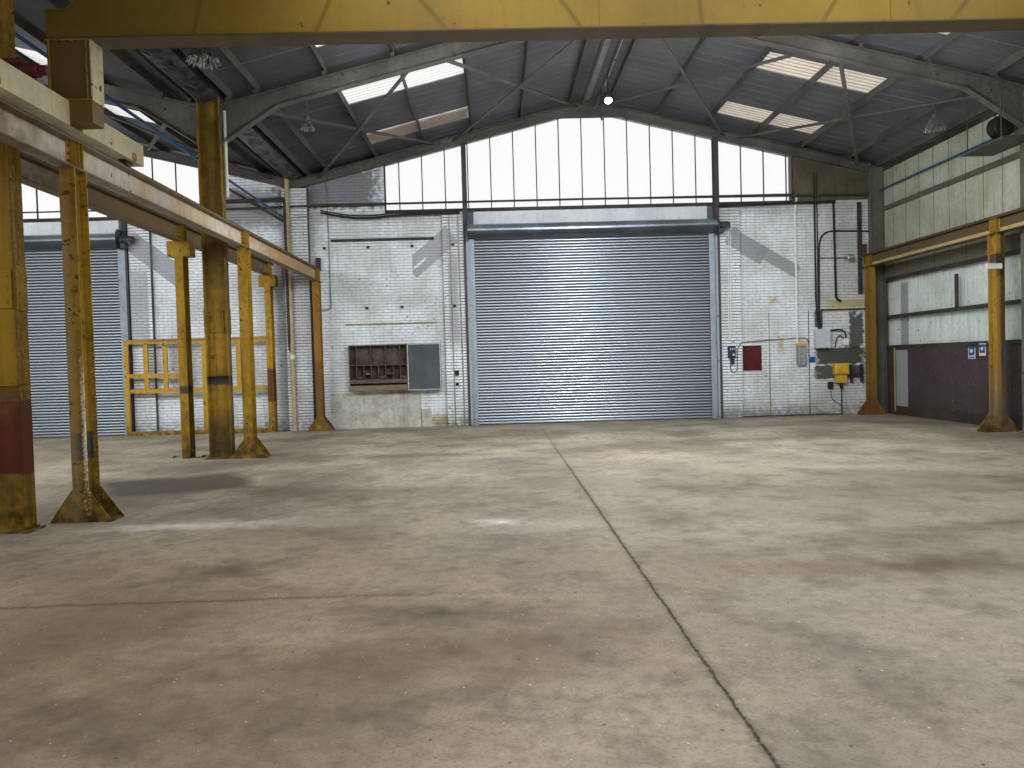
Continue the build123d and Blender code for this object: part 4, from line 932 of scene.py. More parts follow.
class SHED_OT_shutters(bpy.types.Operator):
    """Makes the roller shutters: laths, bottom rails, seals, coils, end plates, drives and guide angles"""

    bl_idname = "shed.shutters"
    bl_label = "Roller shutters"

    def execute(self, context):
        high = context.scene.shed_sizes.lath_height
        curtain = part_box("shutter_curtains")[1]
        half = curtain.x - nave
        back = curtain.y - 0.006
        left, right = nave - half, nave + half
        rail_top = floor_top + rail_height
        count = int((curtain.z - rail_top) / high)
        laths = section_bar(lath_outline(back, rail_top, high), "x", left, right)
        laths = repeat(laths, (0, 0, high), count)
        edit(laths)
        bpy.ops.mesh.normals_make_consistent(inside=False)
        laths = done()
        bpy.ops.object.shade_smooth_by_angle(angle=math.radians(50))
        rail = [(back - 0.012, floor_top + 0.02), (back + 0.008, floor_top + 0.02)]
        rail += [(back + 0.008, rail_top), (back - 0.004, rail_top), (back - 0.012, rail_top - 0.02)]
        bottom = section_bar(rail, "x", left, right)
        curtains = at_all_doors([laths, bottom])
        zinc = "galvanised_laths"
        dress(curtains, "shutter_laths", zinc, stands_for=["shutter_curtains"])
        seal = block((left, back - 0.008, floor_top), (right, back + 0.006, floor_top + 0.021))
        dress(at_all_doors([seal]), "shutter_floor_seals", "black_cable_sheath")

        centre_y = back - 0.006 - barrel_radius - 0.008
        low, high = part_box("shutter_barrels")
        middle = (low.z + high.z) / 2 - (barrel_radius - coil_radius)
        wound = []
        for index in range(coil_edges):
            angle = 2 * math.pi * index / coil_edges
            far = coil_radius if index % 3 else coil_radius - 0.0035
            wound.append((centre_y + far * math.cos(angle), middle + far * math.sin(angle)))
        coil = section_bar(wound, "x", nave - guide_outer, nave + guide_outer)
        bpy.ops.object.shade_smooth_by_angle(angle=math.radians(30))
        coils = at_all_doors([coil])
        dress(coils, "shutter_coils", "wound_zinc", stands_for=["shutter_barrels"])

        parts = []
        front, rear = centre_y - end_plate_half, gable_inner - 0.178
        foot, head = middle - end_plate_half, middle + end_plate_half
        for side in (-1, 1):
            edge = nave + side * guide_outer
            plate = [(front, foot), (rear, foot), (rear, head), (front + 0.10, head)]
            plate.append((front, middle + 0.12))
            outside = edge + side * end_plate_thickness
            parts.append(section_bar(plate, "x", *sorted((edge, outside))))
            parts.append(rod("x", centre_y, middle, 0.055, *sorted((edge, edge + side * 0.04)), 16))
            bolt = rod("x", rear - 0.05, middle - 0.19, 0.011, *sorted((edge, edge + side * 0.02)), 6)
            parts.append(repeat(bolt, (0, 0, 0.19), 3))
        drive = nave + guide_outer + end_plate_thickness
        parts.append(rod("x", centre_y, middle, 0.11, drive, drive + 0.09, 24))
        parts.append(rod("x", centre_y, middle, 0.085, drive + 0.09, drive + 0.34, 20))
        low = (drive + 0.02, centre_y - 0.10, middle - 0.22)
        parts.append(block(low, (drive + 0.16, centre_y + 0.05, middle - 0.09), 0.012))
        fin = rod("x", centre_y, middle, 0.092, drive + 0.12, drive + 0.128, 20)
        parts.append(repeat(fin, (0.022, 0, 0), 9))
        parts.append(rod("y", drive + 0.26, middle - 0.085, 0.05, centre_y - 0.10, centre_y - 0.05, 16))
        dress(at_all_doors(parts), "shutter_ends_and_drives", "greasy_dark_zinc")

        lips = []
        face = gable_inner - 0.055
        for side in (-1, 1):
            edge = nave + side * guide_outer
            high = (edge + side * 0.05, gable_inner - 0.045, door_head)
            lips.append(block((edge, face, floor_top), high, 0.002))
            bolt = rod("y", edge + side * 0.025, floor_top + 0.25, 0.010, gable_inner - 0.068, face, 6)
            lips.append(repeat(bolt, (0, 0, 0.60), 8))
        dress(at_all_doors(lips), "guide_angles", "rusty_dark_post_paint")
        return {"FINISHED"}


# Gable glazing
class SHED_OT_glazing(bpy.types.Operator):
    """Makes the glazing bars and rails, and the gable posts with their feet"""

    bl_idname = "shed.glazing"
    bl_label = "Gable glazing"

    def execute(self, context):
        pane = context.scene.shed_sizes.pane_width
        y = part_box("gable_glazing")[1].y - 0.072
        bars = []
        for index in range(-8, 10):
            x = nave - 0.195 + index * pane
            outline = [(-0.014, 0.0), (0.014, 0.0), (0.014, 0.008), (0.004, 0.010)]
            outline += [(0.004, 0.052), (-0.004, 0.052), (-0.004, 0.010), (-0.014, 0.008)]
            outline = [(x + u, y + v) for u, v in outline]
            bars.append(section_bar(outline, "z", sill_top, roof_line(x) - 0.02))
        for side in (-1, 1):
            x = nave + side * (window_half - 0.02)
            outline = l_outline(x + side * 0.02, y, -side * 0.045, 0.06, 0.006)
            bars.append(section_bar(outline, "z", sill_top, roof_line(x) - 0.01))
        middle_rail = l_outline(y, sill_top + 0.20, 0.05, 0.030, 0.006)
        bottom_rail = l_outline(y - 0.01, sill_top + 0.001, 0.06, 0.045, 0.006)
        for outline in (middle_rail, bottom_rail):
            bars.append(section_bar(outline, "x", nave - window_half, nave + window_half))
        for side in (-1, 1):
            raked = block((nave + side * window_half, y, -0.035), (nave, y + 0.062, 0.0), 0.003)
            raked.data.transform(roof_shear(side, roof_line(nave)))
            bars.append(raked)
        dress(at_all_doors(bars), "glazing_bars", "dark_bitumen_paint")

        posts = []
        low_y, high_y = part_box("gable_posts")[1].y - 0.178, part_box("gable_posts")[1].y
        for side in (-1, 1):
            x = nave + side * (guide_outer + 0.06)
            top = roof_line(nave - guide_outer) - 0.25
            outline = i_outline(x, (low_y + high_y) / 2, 0.12, high_y - low_y, 0.008, 0.011)
            posts.append(section_bar(outline, "z", floor_top, top))
            foot = block((x - 0.06, low_y, floor_top), (x + 0.06, high_y - 0.01, floor_top + 0.015))
            posts.append(foot)
        posts = at_all_doors(posts)
        steel = "rusty_dark_post_paint"
        dress(posts, "gable_i_posts", steel, stands_for=["gable_posts"])
        return {"FINISHED"}


# Roof
light_half = 0.45
light_pitch = 2.9
light_count = 10
near_light, far_light = 3.0325, 5.5325
sheet_underside = 0.1545
wave_middle = 0.0275
wave_half = 0.0175
lap_step = 0.004


def roof_shear(side, height):
    """Tilts a level piece into one slope of a roof, with its ridge at a height."""
    shear = Matrix.Identity(4)
    shear[2][0] = -side * slope
    shear[2][3] = height + side * slope * nave
    return shear


def wave_sheet(low, high, pitch, amplitude, thick, per_wave, height_at):
    """A corrugated sheet: a grid whose columns are lifted into waves, then given its thickness."""
    (u0, v0), (u1, v1) = low, high
    count = round((v1 - v0) / pitch * per_wave)
    bpy.ops.mesh.primitive_grid_add(
        x_subdivisions=1, y_subdivisions=count, size=1, location=((u0 + u1) / 2, (v0 + v1) / 2, 0)
    )
    obj = bpy.context.object
    obj.scale = (u1 - u0, v1 - v0, 1)
    settle(obj)
    for vertex in obj.data.vertices:
        phase = 2 * math.pi * vertex.co.y / pitch
        lift = amplitude * math.cos(phase)
        vertex.co = height_at(vertex.co.x, vertex.co.y, lift)
    thickened(obj, thick, 0)
    bpy.ops.object.shade_smooth_by_angle(angle=math.radians(50))
    return obj


def split_off(obj, test):
    """Parts the faces that a test picks into an object of their own."""
    edit(obj, test)
    bpy.ops.mesh.separate(type="SELECTED")
    bpy.ops.object.mode_set(mode="OBJECT")
    return [one for one in bpy.context.selected_objects if one != obj][0]


class SHED_OT_roof_sheets(bpy.types.Operator):
    """Makes the corrugated roof sheets, the rooflights and the ribbed lining below them"""

    bl_idname = "shed.roof_sheets"
    bl_label = "Roof sheets"

    def execute(self, context):
        sizes = context.scene.shed_sizes
        pitch, rib = sizes.roof_wave, sizes.lining_rib
        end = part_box("main_roof_left")[1].y
        last_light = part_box("rooflights")[1].y - light_half
        lines = [last_light - light_pitch * index for index in range(light_count)]
        opaque, clear = [], []

        def outside_height(x, y, lift):
            rise = (nave - abs(x - nave)) * slope
            return Vector((x, y, eaves_height + rise + sheet_underside + wave_middle + lift))

        def in_light(y):
            return any(abs(y - line) < light_half for line in lines)

        for side, reach in ((-1, nave - 0.10), (1, 15.52 - nave)):
            rows = ((0.0, near_light + 0.04), (near_light, far_light + 0.04), (far_light, reach))
            for index, (near, far) in enumerate(rows):
                lap = lap_step * (1 - index)
                first, last = sorted((nave + side * near, nave + side * far))
                sheet = wave_sheet(
                    (first, -end), (last, end), pitch, wave_half, 0.006, 8,
                    lambda x, y, lift: outside_height(x, y, lift + lap),
                )
                if index == 1:
                    clear.append(split_off(sheet, lambda centre, normal: in_light(centre.y)))
                opaque.append(sheet)
        roof = joined(opaque)
        side_roof = copied(roof, half_turn)
        names = ["main_roof_left", "main_roof_right"]
        cement = "weathered_fibre_cement"
        dress(roof, "main_roof_sheets", cement, stands_for=names)
        names = ["side_roof_left", "side_roof_right"]
        dress(side_roof, "side_roof_sheets", cement, stands_for=names)
        kinds = (
            ("renewed_fibreglass_sheet", "rooflights_left"), ("milky_fibreglass_sheet", "rooflights_right"),
        )
        for light, (finish, name) in zip(clear, kinds):
            dress(at_both_ends(light), name, finish, stands_for=["rooflights"])

        ribs = []
        count = round(2 * gable_outer / rib)
        edges = [gable_outer - index * rib for index in range(count + 1)]
        for side, reach in ((-1, nave - 0.12), (1, wall_inner - nave)):
            panels = []
            rows = ((0.10, near_light, False), (near_light, far_light, True), (far_light, reach, False))
            for near, far, broken in rows:
                first, last = sorted((nave + side * near, nave + side * far))
                stretches = [(-gable_outer, gable_outer)]
                if broken:
                    cuts = [line + way * light_half for line in sorted(lines) for way in (-1, 1)]
                    ends = [-gable_outer] + cuts + [gable_outer]
                    stretches = list(zip(ends[::2], ends[1::2]))
                for low_y, high_y in stretches:
                    inside = sorted(e for e in edges if low_y + 0.03 < e < high_y - 0.03)
                    steps = [low_y] + inside + [high_y]
                    outline = []
                    for start, stop in zip(steps, steps[1:]):
                        outline += [(start, 0.012), (start + 0.012, 0.0), (stop - 0.002, 0.004)]
                    outline += [(high_y, 0.012)]
                    outline += [(v, w + 0.0015) for v, w in reversed(outline)]
                    panels.append(section_bar(outline, "x", first, last))
            panel = joined(panels)
            panel.data.transform(roof_shear(side, eaves_height + sheet_underside + nave * slope))
            ribs.append(panel)
        skin = at_both_ends(joined(ribs))
        dress(skin, "ribbed_roof_lining", "grey_lining_and_valley_shade")
        return {"FINISHED"}


# Side walls
class SHED_OT_wall_sheets(bpy.types.Operator):
    """Makes the corrugated wall sheets and the boards inside them"""

    bl_idname = "shed.wall_sheets"
    bl_label = "Wall sheets and boards"

    def execute(self, context):
        sizes = context.scene.shed_sizes
        low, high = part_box("wall_cladding")
        middle = (rail_outer + wall_outer) / 2
        sheet = wave_sheet(
            (floor_top, low.y), (high.z, high.y), sizes.wall_wave, 0.009, 0.003, 6,
            lambda x, y, lift: Vector((middle + lift, y, x)),
        )
        pale, node = "pale_coated_sheet", "wall_cladding"
        dress(at_both_ends(sheet), "corrugated_wall_sheets", pale, stands_for=[node])

        sets = (
            ("upper_boards", "upper_linings", sizes.board_width, "cream_green_board", "green_board"),
            ("dado_boards", "wall_dados", sizes.dado_width, "brown_painted_plywood", "brown_board"),
        )
        for name, node, width, finish, slot in sets:
            low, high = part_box(node)
            count = round((high.y - low.y) / width)
            wide = (high.y - low.y) / count
            board = block((wall_inner, low.y + 0.003, low.z), (high.x, low.y + wide - 0.003, high.z), 0.003)
            boards = at_both_ends(repeat(board, (0, wide, 0), count))
            dress(boards, name, finish, stands_for=[node])
            corner = (wall_inner + 0.006, low.y + 0.006, high.z)
            joint = block((wall_inner - 0.003, low.y - 0.006, low.z), corner, 0.001)
            joints = at_both_ends(repeat(moved(joint, y=wide), (0, wide, 0), count - 1))
            remove(joint)
            dress(joints, name.replace("boards", "joints"), "dark_bitumen_paint")
        closer = block((wall_inner - 0.004, low.y, 6.46), (wall_inner + 0.01, high.y, eaves_height), 0.002)
        dress(at_both_ends(closer), "eaves_closers", "dark_bitumen_paint")
        strip = block((wall_inner - 0.02, 11.79, 2.68), (wall_inner + 0.03, 11.87, 3.44), 0.004)
        dress(strip, "sheet_joint_strip", "dark_bitumen_paint")
        corner = (nave + window_half, gable_inner - 0.016, 5.78)
        gable_board = under_roof(block(corner, (wall_inner, gable_inner - 0.001, 6.95), 0.003))
        dress(gable_board, "gable_boards", "damp_brown_board")
        rail = block((wall_inner - 0.05, low.y, 5.42), (wall_inner, high.y, 5.54), 0.006)
        dress(at_both_ends(rail), "eaves_rails", "grey_green_column_paint")
        cover = block((wall_inner - 0.006, low.y, 1.80), (wall_inner + 0.02, high.y, 1.86), 0.004)
        nail = rod("x", low.y + 0.3, 1.83, 0.008, wall_inner - 0.012, wall_inner - 0.006, 6)
        cover = at_both_ends(joined([cover, repeat(nail, (0, 0.6, 0), 50)]))
        dress(cover, "dado_cover_strips", "dark_bitumen_paint")
        return {"FINISHED"}


# Bolts, plates and stiffeners
def bolts(points, axis, radius=0.012, high=0.010, way=1):
    """Hexagon heads with washers standing on a face at each of these points."""
    washer = rod(axis, 0, 0, radius * 1.35, 0, way * high * 0.25, 10)
    head = rod(axis, 0, 0, radius, way * high * 0.2, way * high, 6)
    one = joined([washer, head])
    made = [moved(one, *point) for point in points]
    remove(one)
    return joined(made)


def grid(us, vs, axis, along):
    """The points of a bolt pattern on a face across an axis."""
    return [place(axis, u, v, along) for u in us for v in vs]


def at_places(obj, places):
    """Copies of an object at each of these shifts, as one object in place of the first."""
    made = joined([moved(obj, *shift) for shift in places])
    remove(obj)
    return made


# Each runway: its place across the shed, the places of its posts, and the underside of its beam
main_left_posts = [14.7185 - 5.6 * index for index in range(6)]
main_right_posts = [14.7185 - 5.0 * index for index in range(6)] + [-13.2815]
side_posts = [14.7685 - 5.4 * index for index in range(6)]
runways = (
    (0.53, main_left_posts, 3.97), (2 * nave - 0.47, main_right_posts, 3.97),
    (-0.70, side_posts, 4.15), (-14.54, side_posts, 4.15),
)
beam_depth = 0.31
rail_end = 14.8
clip_pitch = 0.75
stanchion_half_deep = 0.203
stanchion_half_wide = 0.089


class SHED_OT_steel_details(bpy.types.Operator):
    """Adds splice and base plates, stiffeners, bolts and rail clips to the columns, posts and runways"""

    bl_idname = "shed.steel_details"
    bl_label = "Steel details"

    def execute(self, context):
        mustard = "mustard_enamel_on_steel"
        wide = stanchion_half_wide
        parts = []
        for side in (-1, 1):
            face = side * stanchion_half_deep
            outside = face + side * 0.012
            parts.append(block((face, -wide, 2.42), (outside, wide, 2.88), 0.003))
            pattern = grid((-0.05, 0.05), (2.48, 2.59, 2.71, 2.82), "x", outside)
            parts.append(bolts(pattern, "x", way=side))
            parts.append(block((0, -wide, 1.655), (face, wide, 1.665), 0.002))
        for side in (-1, 1):
            parts.append(block((-0.12, side * 0.006, 2.45), (0.12, side * 0.018, 2.85), 0.003))
            pattern = grid((-0.07, 0.07), (2.52, 2.65, 2.78), "y", side * 0.018)
            parts.append(bolts(pattern, "y", way=side))
        splice = at_places(joined(parts), [(0, y, 0) for y in frame_lines])
        dress(splice, "stanchion_splices", mustard)

        base = [
            block((-0.262, y - 0.148, floor_top), (0.262, y + 0.148, floor_top + 0.021), 0.003)
            for y in frame_lines
        ]
        pattern = [
            (x, y + shift, floor_top + 0.020)
            for x in (-0.235, 0.235) for y in frame_lines for shift in (-0.06, 0.06)
        ]
        base.append(bolts(pattern, "z", 0.018, 0.03))
        dress(base, "stanchion_base_plates", mustard)

        plates, heads, nuts = [], [], []
        for x, lines, low in runways:
            top = low + beam_depth
            posts = [(0, y, 0) for y in lines]
            stiffener = block((x - 0.080, -0.005, low + 0.017), (x + 0.080, 0.005, top - 0.017), 0.003)
            stiffener = joined([moved(stiffener, y=-0.075), moved(stiffener, y=0.075), stiffener])
            plates.append(at_places(stiffener, posts))
            for side in (-1, 1):
                corner = (x + side * 0.014, 0.14, top - 0.02)
                cheek = block((x + side * 0.006, -0.14, low + 0.02), corner, 0.002)
                plates.append(at_places(cheek, posts))
                pattern = [
                    (x + side * 0.014, y + shift, low + 0.075 + 0.08 * row)
                    for y in lines for shift in (-0.11, -0.04, 0.04, 0.11) for row in range(3)
                ]
                heads.append(bolts(pattern, "x", 0.013, 0.012, side))
            under = [
                (x + u, y + v, low) for y in lines for u in (-0.055, 0.055) for v in (-0.085, 0.085)
            ]
            heads.append(bolts(under, "z", 0.012, 0.024, -1))
            foot = [
                (x + u, y + v, floor_top + 0.012)
                for y in lines for u in (-0.27, 0.27) for v in (-0.045, 0.045)
                if abs(x + u) < wall_inner - 0.05
            ]
            nuts.append(bolts(foot, "z", 0.017, 0.03))
        dress(plates, "runway_stiffeners", mustard)
        dress(heads, "runway_bolts", "bare_rail_steel")
        dress(nuts, "post_foot_nuts", "bare_rail_steel")

        clips = []
        for x, lines, low in runways:
            top = low + beam_depth
            for side in (-1, 1):
                corner = (x + side * 0.060, 0.025, top + 0.014)
                clip = block((x + side * 0.027, -0.025, top + 0.0005), corner, 0.003)
                pattern = [(x + side * 0.045, 0, top + 0.014)]
                clip = joined([clip, bolts(pattern, "z", 0.009, 0.012)])
                start = -13.3 if x > 0 else -12.2
                count = int((rail_end - start) / clip_pitch)
                clip.data.transform(Matrix.Translation((0, start, 0)))
                clips.append(repeat(clip, (0, clip_pitch, 0), count))
        dress(clips, "rail_clips", "bare_rail_steel")
        return {"FINISHED"}


class SHED_OT_roof_steel_details(bpy.types.Operator):
    """Adds the ridge plates, the haunch end plates and their bolts to the portal frames"""

    bl_idname = "shed.roof_steel_details"
    bl_label = "Roof steel details"

    def execute(self, context):
        parts = []
        for y in frame_lines:
            low, high = roof_line(nave) - 0.60, roof_line(nave) - 0.10
            plate = block((nave - 0.014, y - 0.085, low), (nave + 0.014, y + 0.085, high), 0.003)
            pattern = grid((y - 0.05, y + 0.05), [low + 0.06 + 0.095 * i for i in range(5)], "x", 0)
            right = [(nave + 0.014, v, w) for _, v, w in pattern]
            left = [(nave - 0.014, v, w) for _, v, w in pattern]
            parts += [plate, bolts(right, "x", 0.012, 0.012), bolts(left, "x", 0.012, 0.012, -1)]
            haunch = block((0.2035, y - 0.085, 5.80), (0.2195, y + 0.085, 6.52), 0.003)
            pattern = [(0.2195, y + v, 5.87 + 0.115 * i) for v in (-0.055, 0.055) for i in range(6)]
            parts += [haunch, bolts(pattern, "x", 0.012, 0.012)]
            pattern = [(2 * nave - 0.38, y + v, 5.90 + 0.11 * i) for v in (-0.055, 0.055) for i in range(5)]
            parts.append(bolts(pattern, "x", 0.012, 0.012, -1))
        plates = at_both_ends(joined(parts))
        dress(plates, "portal_end_plates", "grey_roof_steel_paint")
        return {"FINISHED"}


axle_height = 4.4303
carriage_half = 1.57
carriage_wide = 0.22


class SHED_OT_crane_details(bpy.types.Operator):
    """Adds flange plates, ribs, skirts, axle caps, bolts and web seams to the crane bridge"""

    bl_idname = "shed.crane_details"
    bl_label = "Crane details"

    def execute(self, context):
        low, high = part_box("crane_end_carriages")
        girder_low, girder_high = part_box("crane_girder")
        y = (low.y + high.y) / 2
        top, bottom = girder_low.z, 4.64
        parts, heads, skirts = [], [], []
        for x, way in ((low.x, 1), (high.x, -1)):
            stool_in = x + way * 0.46
            near, far = sorted((x, stool_in))
            for foot, head in ((top - 0.016, top - 0.001), (bottom + 0.001, bottom + 0.014)):
                parts.append(block((near, y - 0.145, foot), (far, y + 0.145, head), 0.003))
            for side in (-1, 1):
                face = y + side * 0.12
                pattern = [(near + 0.06 + 0.085 * i, y + side * 0.132, top - 0.016) for i in range(5)]
                heads.append(bolts(pattern, "z", 0.010, 0.012, -1))
                for rib in (near + 0.03, far - 0.042):
                    corner = (rib + 0.012, face + side * 0.022, top - 0.016)
                    parts.append(block((rib, face, bottom + 0.014), corner, 0.002))
            skirt_out = x + way * 0.212
            skirts.append(block((skirt_out, y - 0.12, 4.41), (stool_in, y + 0.12, bottom + 0.002), 0.003))
            for end in (-1, 1):
                axle = y + end * (carriage_half - 0.26)
                outer = x if way > 0 else x - carriage_wide
                for cap_side, face in ((-1, outer), (1, outer + carriage_wide)):
                    outside = face + cap_side * 0.010
                    parts.append(rod("x", axle, axle_height, 0.055, *sorted((face, outside)), 18))
                    spots = [
                        (outside, axle + 0.037 * math.cos(a), axle_height + 0.037 * math.sin(a))
                        for a in (0.8, 2.35, 3.95, 5.5)
                    ]
                    heads.append(bolts(spots, "x", 0.006, 0.006, cap_side))
                plate_y = y + end * carriage_half
                corner = (outer + 0.21, plate_y, 4.63)
                parts.append(block((outer + 0.01, plate_y - end * 0.006, 4.39), corner, 0.003))
        dress(parts, "crane_plates", "mustard_enamel_on_steel", "crane_bridge")
        dress(heads, "crane_bolts", "bare_rail_steel", "crane_bridge")
        dress(skirts, "stool_skirts", "cream_crane_enamel", "crane_bridge")
        seams = []
        for x in web_seams:
            for side in (-1, 1):
                face = y + side * 0.12
                corner = (x + 0.004, face + side * 0.003, girder_high.z - 0.03)
                seams.append(block((x - 0.004, face, 5.32), corner, 0.001))
        dress(seams, "girder_web_welds", "yellow_crane_enamel", "crane_bridge")
        return {"FINISHED"}


# Fittings on the far gable and the walls
def hinged_box(low, high, lip=0.012):
    """A sheet-steel box: rounded corners, a raised door with a gap, two hinges and a latch."""
    low, high = Vector(low), Vector(high)
    face = low.y
    body = block(low, high, 0.008)
    corner = (high.x - lip, face + 0.001, high.z - lip)
    door = block((low.x + lip, face - 0.006, low.z + lip), corner, 0.004)
    parts = [body, with_inset_front(door, 0.012, -0.002)]
    for share in (0.2, 0.8):
        z = low.z + (high.z - low.z) * share
        parts.append(rod("z", low.x + lip * 0.6, face - 0.006, 0.005, z - 0.025, z + 0.025, 8))
    latch_height = (low.z + high.z) / 2
    parts.append(rod("y", high.x - lip * 2.5, latch_height, 0.010, face - 0.016, face - 0.004, 12))
    return joined(parts)


def wall_block(x0, z0, x1, z1, front, edge, back=0.0, face=gable_inner):
    """A block between two corners on the gable, its front and back so far before the wall's face."""
    return block((x0, face - front, z0), (x1, face - back, z1), edge)


def wall_tubes(*routes, sides=4):
    """Pipes or cables along the gable. Each route gives the radius, the radius of the bends, and the
    points: the place across the shed, the distance before the wall's face, and the height."""
    return [
        tube([(x, gable_inner - off, z) for x, off, z in points], radius, bend, sides)
        for radius, bend, *points in routes
    ]


class SHED_OT_wall_fittings(bpy.types.Operator):
    """Makes the rack, the cabinet, the boards, the switch boxes and the small fittings"""

    bl_idname = "shed.wall_fittings"
    bl_label = "Wall fittings"

    def execute(self, context):
        wall = gable_inner
        low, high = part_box("wall_rack")
        front = low.y
        parts = [
            block((low.x, front, low.z), (low.x + 0.022, wall, high.z), 0.003),
            block((high.x - 0.022, front, low.z), (high.x, wall, high.z), 0.003),
            block((low.x, front, high.z - 0.022), (high.x, wall, high.z), 0.003),
            block((low.x, front, low.z), (high.x, wall, low.z + 0.022), 0.003),
            block((low.x, wall - 0.012, low.z), (high.x, wall, high.z), 0.002),
            block((low.x, front + 0.004, low.z + 0.66), (high.x, wall, low.z + 0.682), 0.003),
            block((low.x, front + 0.002, low.z + 0.20), (high.x, front + 0.022, low.z + 0.30), 0.003),
            block((low.x, front + 0.004, low.z + 0.20), (high.x, wall, low.z + 0.222), 0.003),
        ]
        columns = 8
        wide = (high.x - low.x) / columns
        for index in range(1, columns):
            x = low.x + wide * index
            corner = (x + 0.008, wall, low.z + 0.66)
            parts.append(block((x - 0.008, front + 0.01, low.z + 0.222), corner, 0.002))
            if index % 2:
                corner = (x + 0.008, wall, high.z - 0.02)
                parts.append(block((x - 0.008, front + 0.02, low.z + 0.682), corner, 0.002))
        for index in range(columns):
            x = low.x + wide * index
            z = low.z + 0.222 + 0.10 * (index % 3)
            parts.append(block((x + 0.02, front + 0.05, z), (x + wide - 0.03, wall, z + 0.05), 0.004))
        dress(parts, "pigeon_hole_rack", "old_brown_timber", stands_for=["wall_rack"])
        corner = (high.x, front + 0.002, low.z + 0.15)
        lip = block((low.x - 0.01, front - 0.010, low.z + 0.01), corner, 0.004)
        dress(lip, "rack_foot_board", "pale_worn_timber")

        cabinet = [
            hinged_box((2.77, wall - 0.234, 1.12), (3.62, wall, 2.31), lip=0.03),
            wall_block(3.19, 1.15, 3.196, 2.28, 0.243, 0.001, back=0.236),
        ]
        dress(cabinet, "steel_cabinet", "grey_cabinet_enamel", stands_for=["wall_boxes"])
        edges = [wall_block(x, 1.12, x + 0.018, 2.31, 0.242, 0.002, 0.232) for x in (2.77, 3.602)]
        edges += [wall_block(2.79, z, 3.60, z + 0.016, 0.242, 0.002, 0.232) for z in (1.12, 2.294)]
        dress(edges, "cabinet_edge_frame", "off_white_pipe")
        patch = [
            wall_block(0.71, floor_top, 3.07, 1.08, 0.011, 0.004),
            wall_block(2.20, 1.06, 2.90, 1.16, 0.011, 0.004),
            wall_block(3.05, floor_top, 3.34, 0.62, 0.011, 0.004),
        ]
        dress(patch, "cement_patch", "patched_cement_render")

        board = with_inset_front(wall_block(11.54, 1.37, 12.03, 2.02, 0.022, 0.004), 0.03, -0.004)
        pattern = [(11.62 + 0.33 * i, wall - 0.022, z) for i in (0, 1) for z in (1.42, 1.97)]
        screws = bolts(pattern, "y", 0.007, 0.006, -1)
        dress([board, screws], "maroon_board", "maroon_painted_board")

        isolator = hinged_box((12.95, wall - 0.134, 1.48), (13.18, wall, 1.96))
        dress(isolator, "isolator_box", "pale_grey_enamel")
        hood = wall_block(12.95, 1.965, 13.18, 2.05, 0.13, 0.008)
        handle = rod("y", 13.065, 1.70, 0.035, wall - 0.165, wall - 0.134, 14)
        dress([hood, handle], "isolator_hood", "yellow_socket_plastic")
        switch = hinged_box((13.41, wall - 0.194, 1.91), (13.80, wall, 2.41), lip=0.02)
        dress(switch, "switch_box", "light_grey_enamel")
        socket = with_inset_front(wall_block(13.91, 1.20, 14.29, 1.50, 0.17, 0.012), 0.035, 0.02)
        hood = wall_block(13.95, 0.98, 14.25, 1.19, 0.13, 0.012)
        dress([socket, hood], "socket_box", "yellow_socket_plastic")
        black = [
            rod("z", 14.10, wall - 0.09, 0.045, 0.84, 0.99, 12),
            hinged_box((13.77, wall - 0.09, 0.84), (13.89, wall, 1.02), lip=0.006),
            wall_block(13.285, floor_top, 13.303, 2.90, 0.014, 0.002),
            wall_block(3.98, 1.46, 4.08, 1.60, 0.16, 0.006, back=0.10),
            wall_block(4.00, 1.20, 4.07, 1.28, 0.16, 0.006, back=0.10),
        ]
        dress(black, "black_fittings", "black_cable_sheath")

        pier = wall - pier_depth
        upper = with_inset_front(wall_block(11.10, 1.72, 11.29, 2.03, 0.10, 0.014, face=pier), 0.016, 0.006)
        lower = wall_block(11.16, 1.55, 11.26, 1.70, 0.08, 0.010, face=pier)
        dress([upper, lower], "door_control_box", "dark_blue_moulding")
        push = [
            rod("y", 11.15 + 0.05 * i, 1.95, 0.016, pier - 0.118, pier - 0.104, 14) for i in range(3)
        ]
        push.append(rod("y", 11.235, 1.80, 0.030, pier - 0.125, pier - 0.104, 16))
        dress(push, "door_control_buttons", "white_moulding")
        stop = rod("y", 11.21, 1.62, 0.024, pier - 0.100, pier - 0.078, 16)
        dress(stop, "door_stop_button", "red_plug_plastic")

        dark = [
            wall_block(14.36, 0.99, 14.40, 1.46, 0.14, 0.004),
            wall_block(14.63, 0.99, 14.67, 1.46, 0.14, 0.004),
            wall_block(14.36, 1.20, 14.67, 1.24, 0.14, 0.004, back=0.10),
            wall_block(0.87, 5.00, 3.53, 5.07, 0.055, 0.004),
            wall_block(13.62, 2.89, 14.92, 2.93, 0.05, 0.004),
        ]
        for x, z, deep in (
            (0.69, 4.85, 0.07), (1.82, 4.85, 0.07), (2.96, 4.85, 0.07), (4.02, 4.85, 0.16),
            (1.74, 3.28, 0.07), (2.65, 3.28, 0.07), (4.02, 3.27, 0.16),
        ):
            dark.append(wall_block(x - 0.035, z - 0.03, x + 0.035, z + 0.03, deep, 0.008))
        dress(dark, "dark_battens_and_brackets", "dark_bitumen_paint")
        yellow = wall_block(1.16, 2.84, 3.53, 2.875, 0.045, 0.004)
        dress(yellow, "yellow_batten", "faded_yellow_timber")

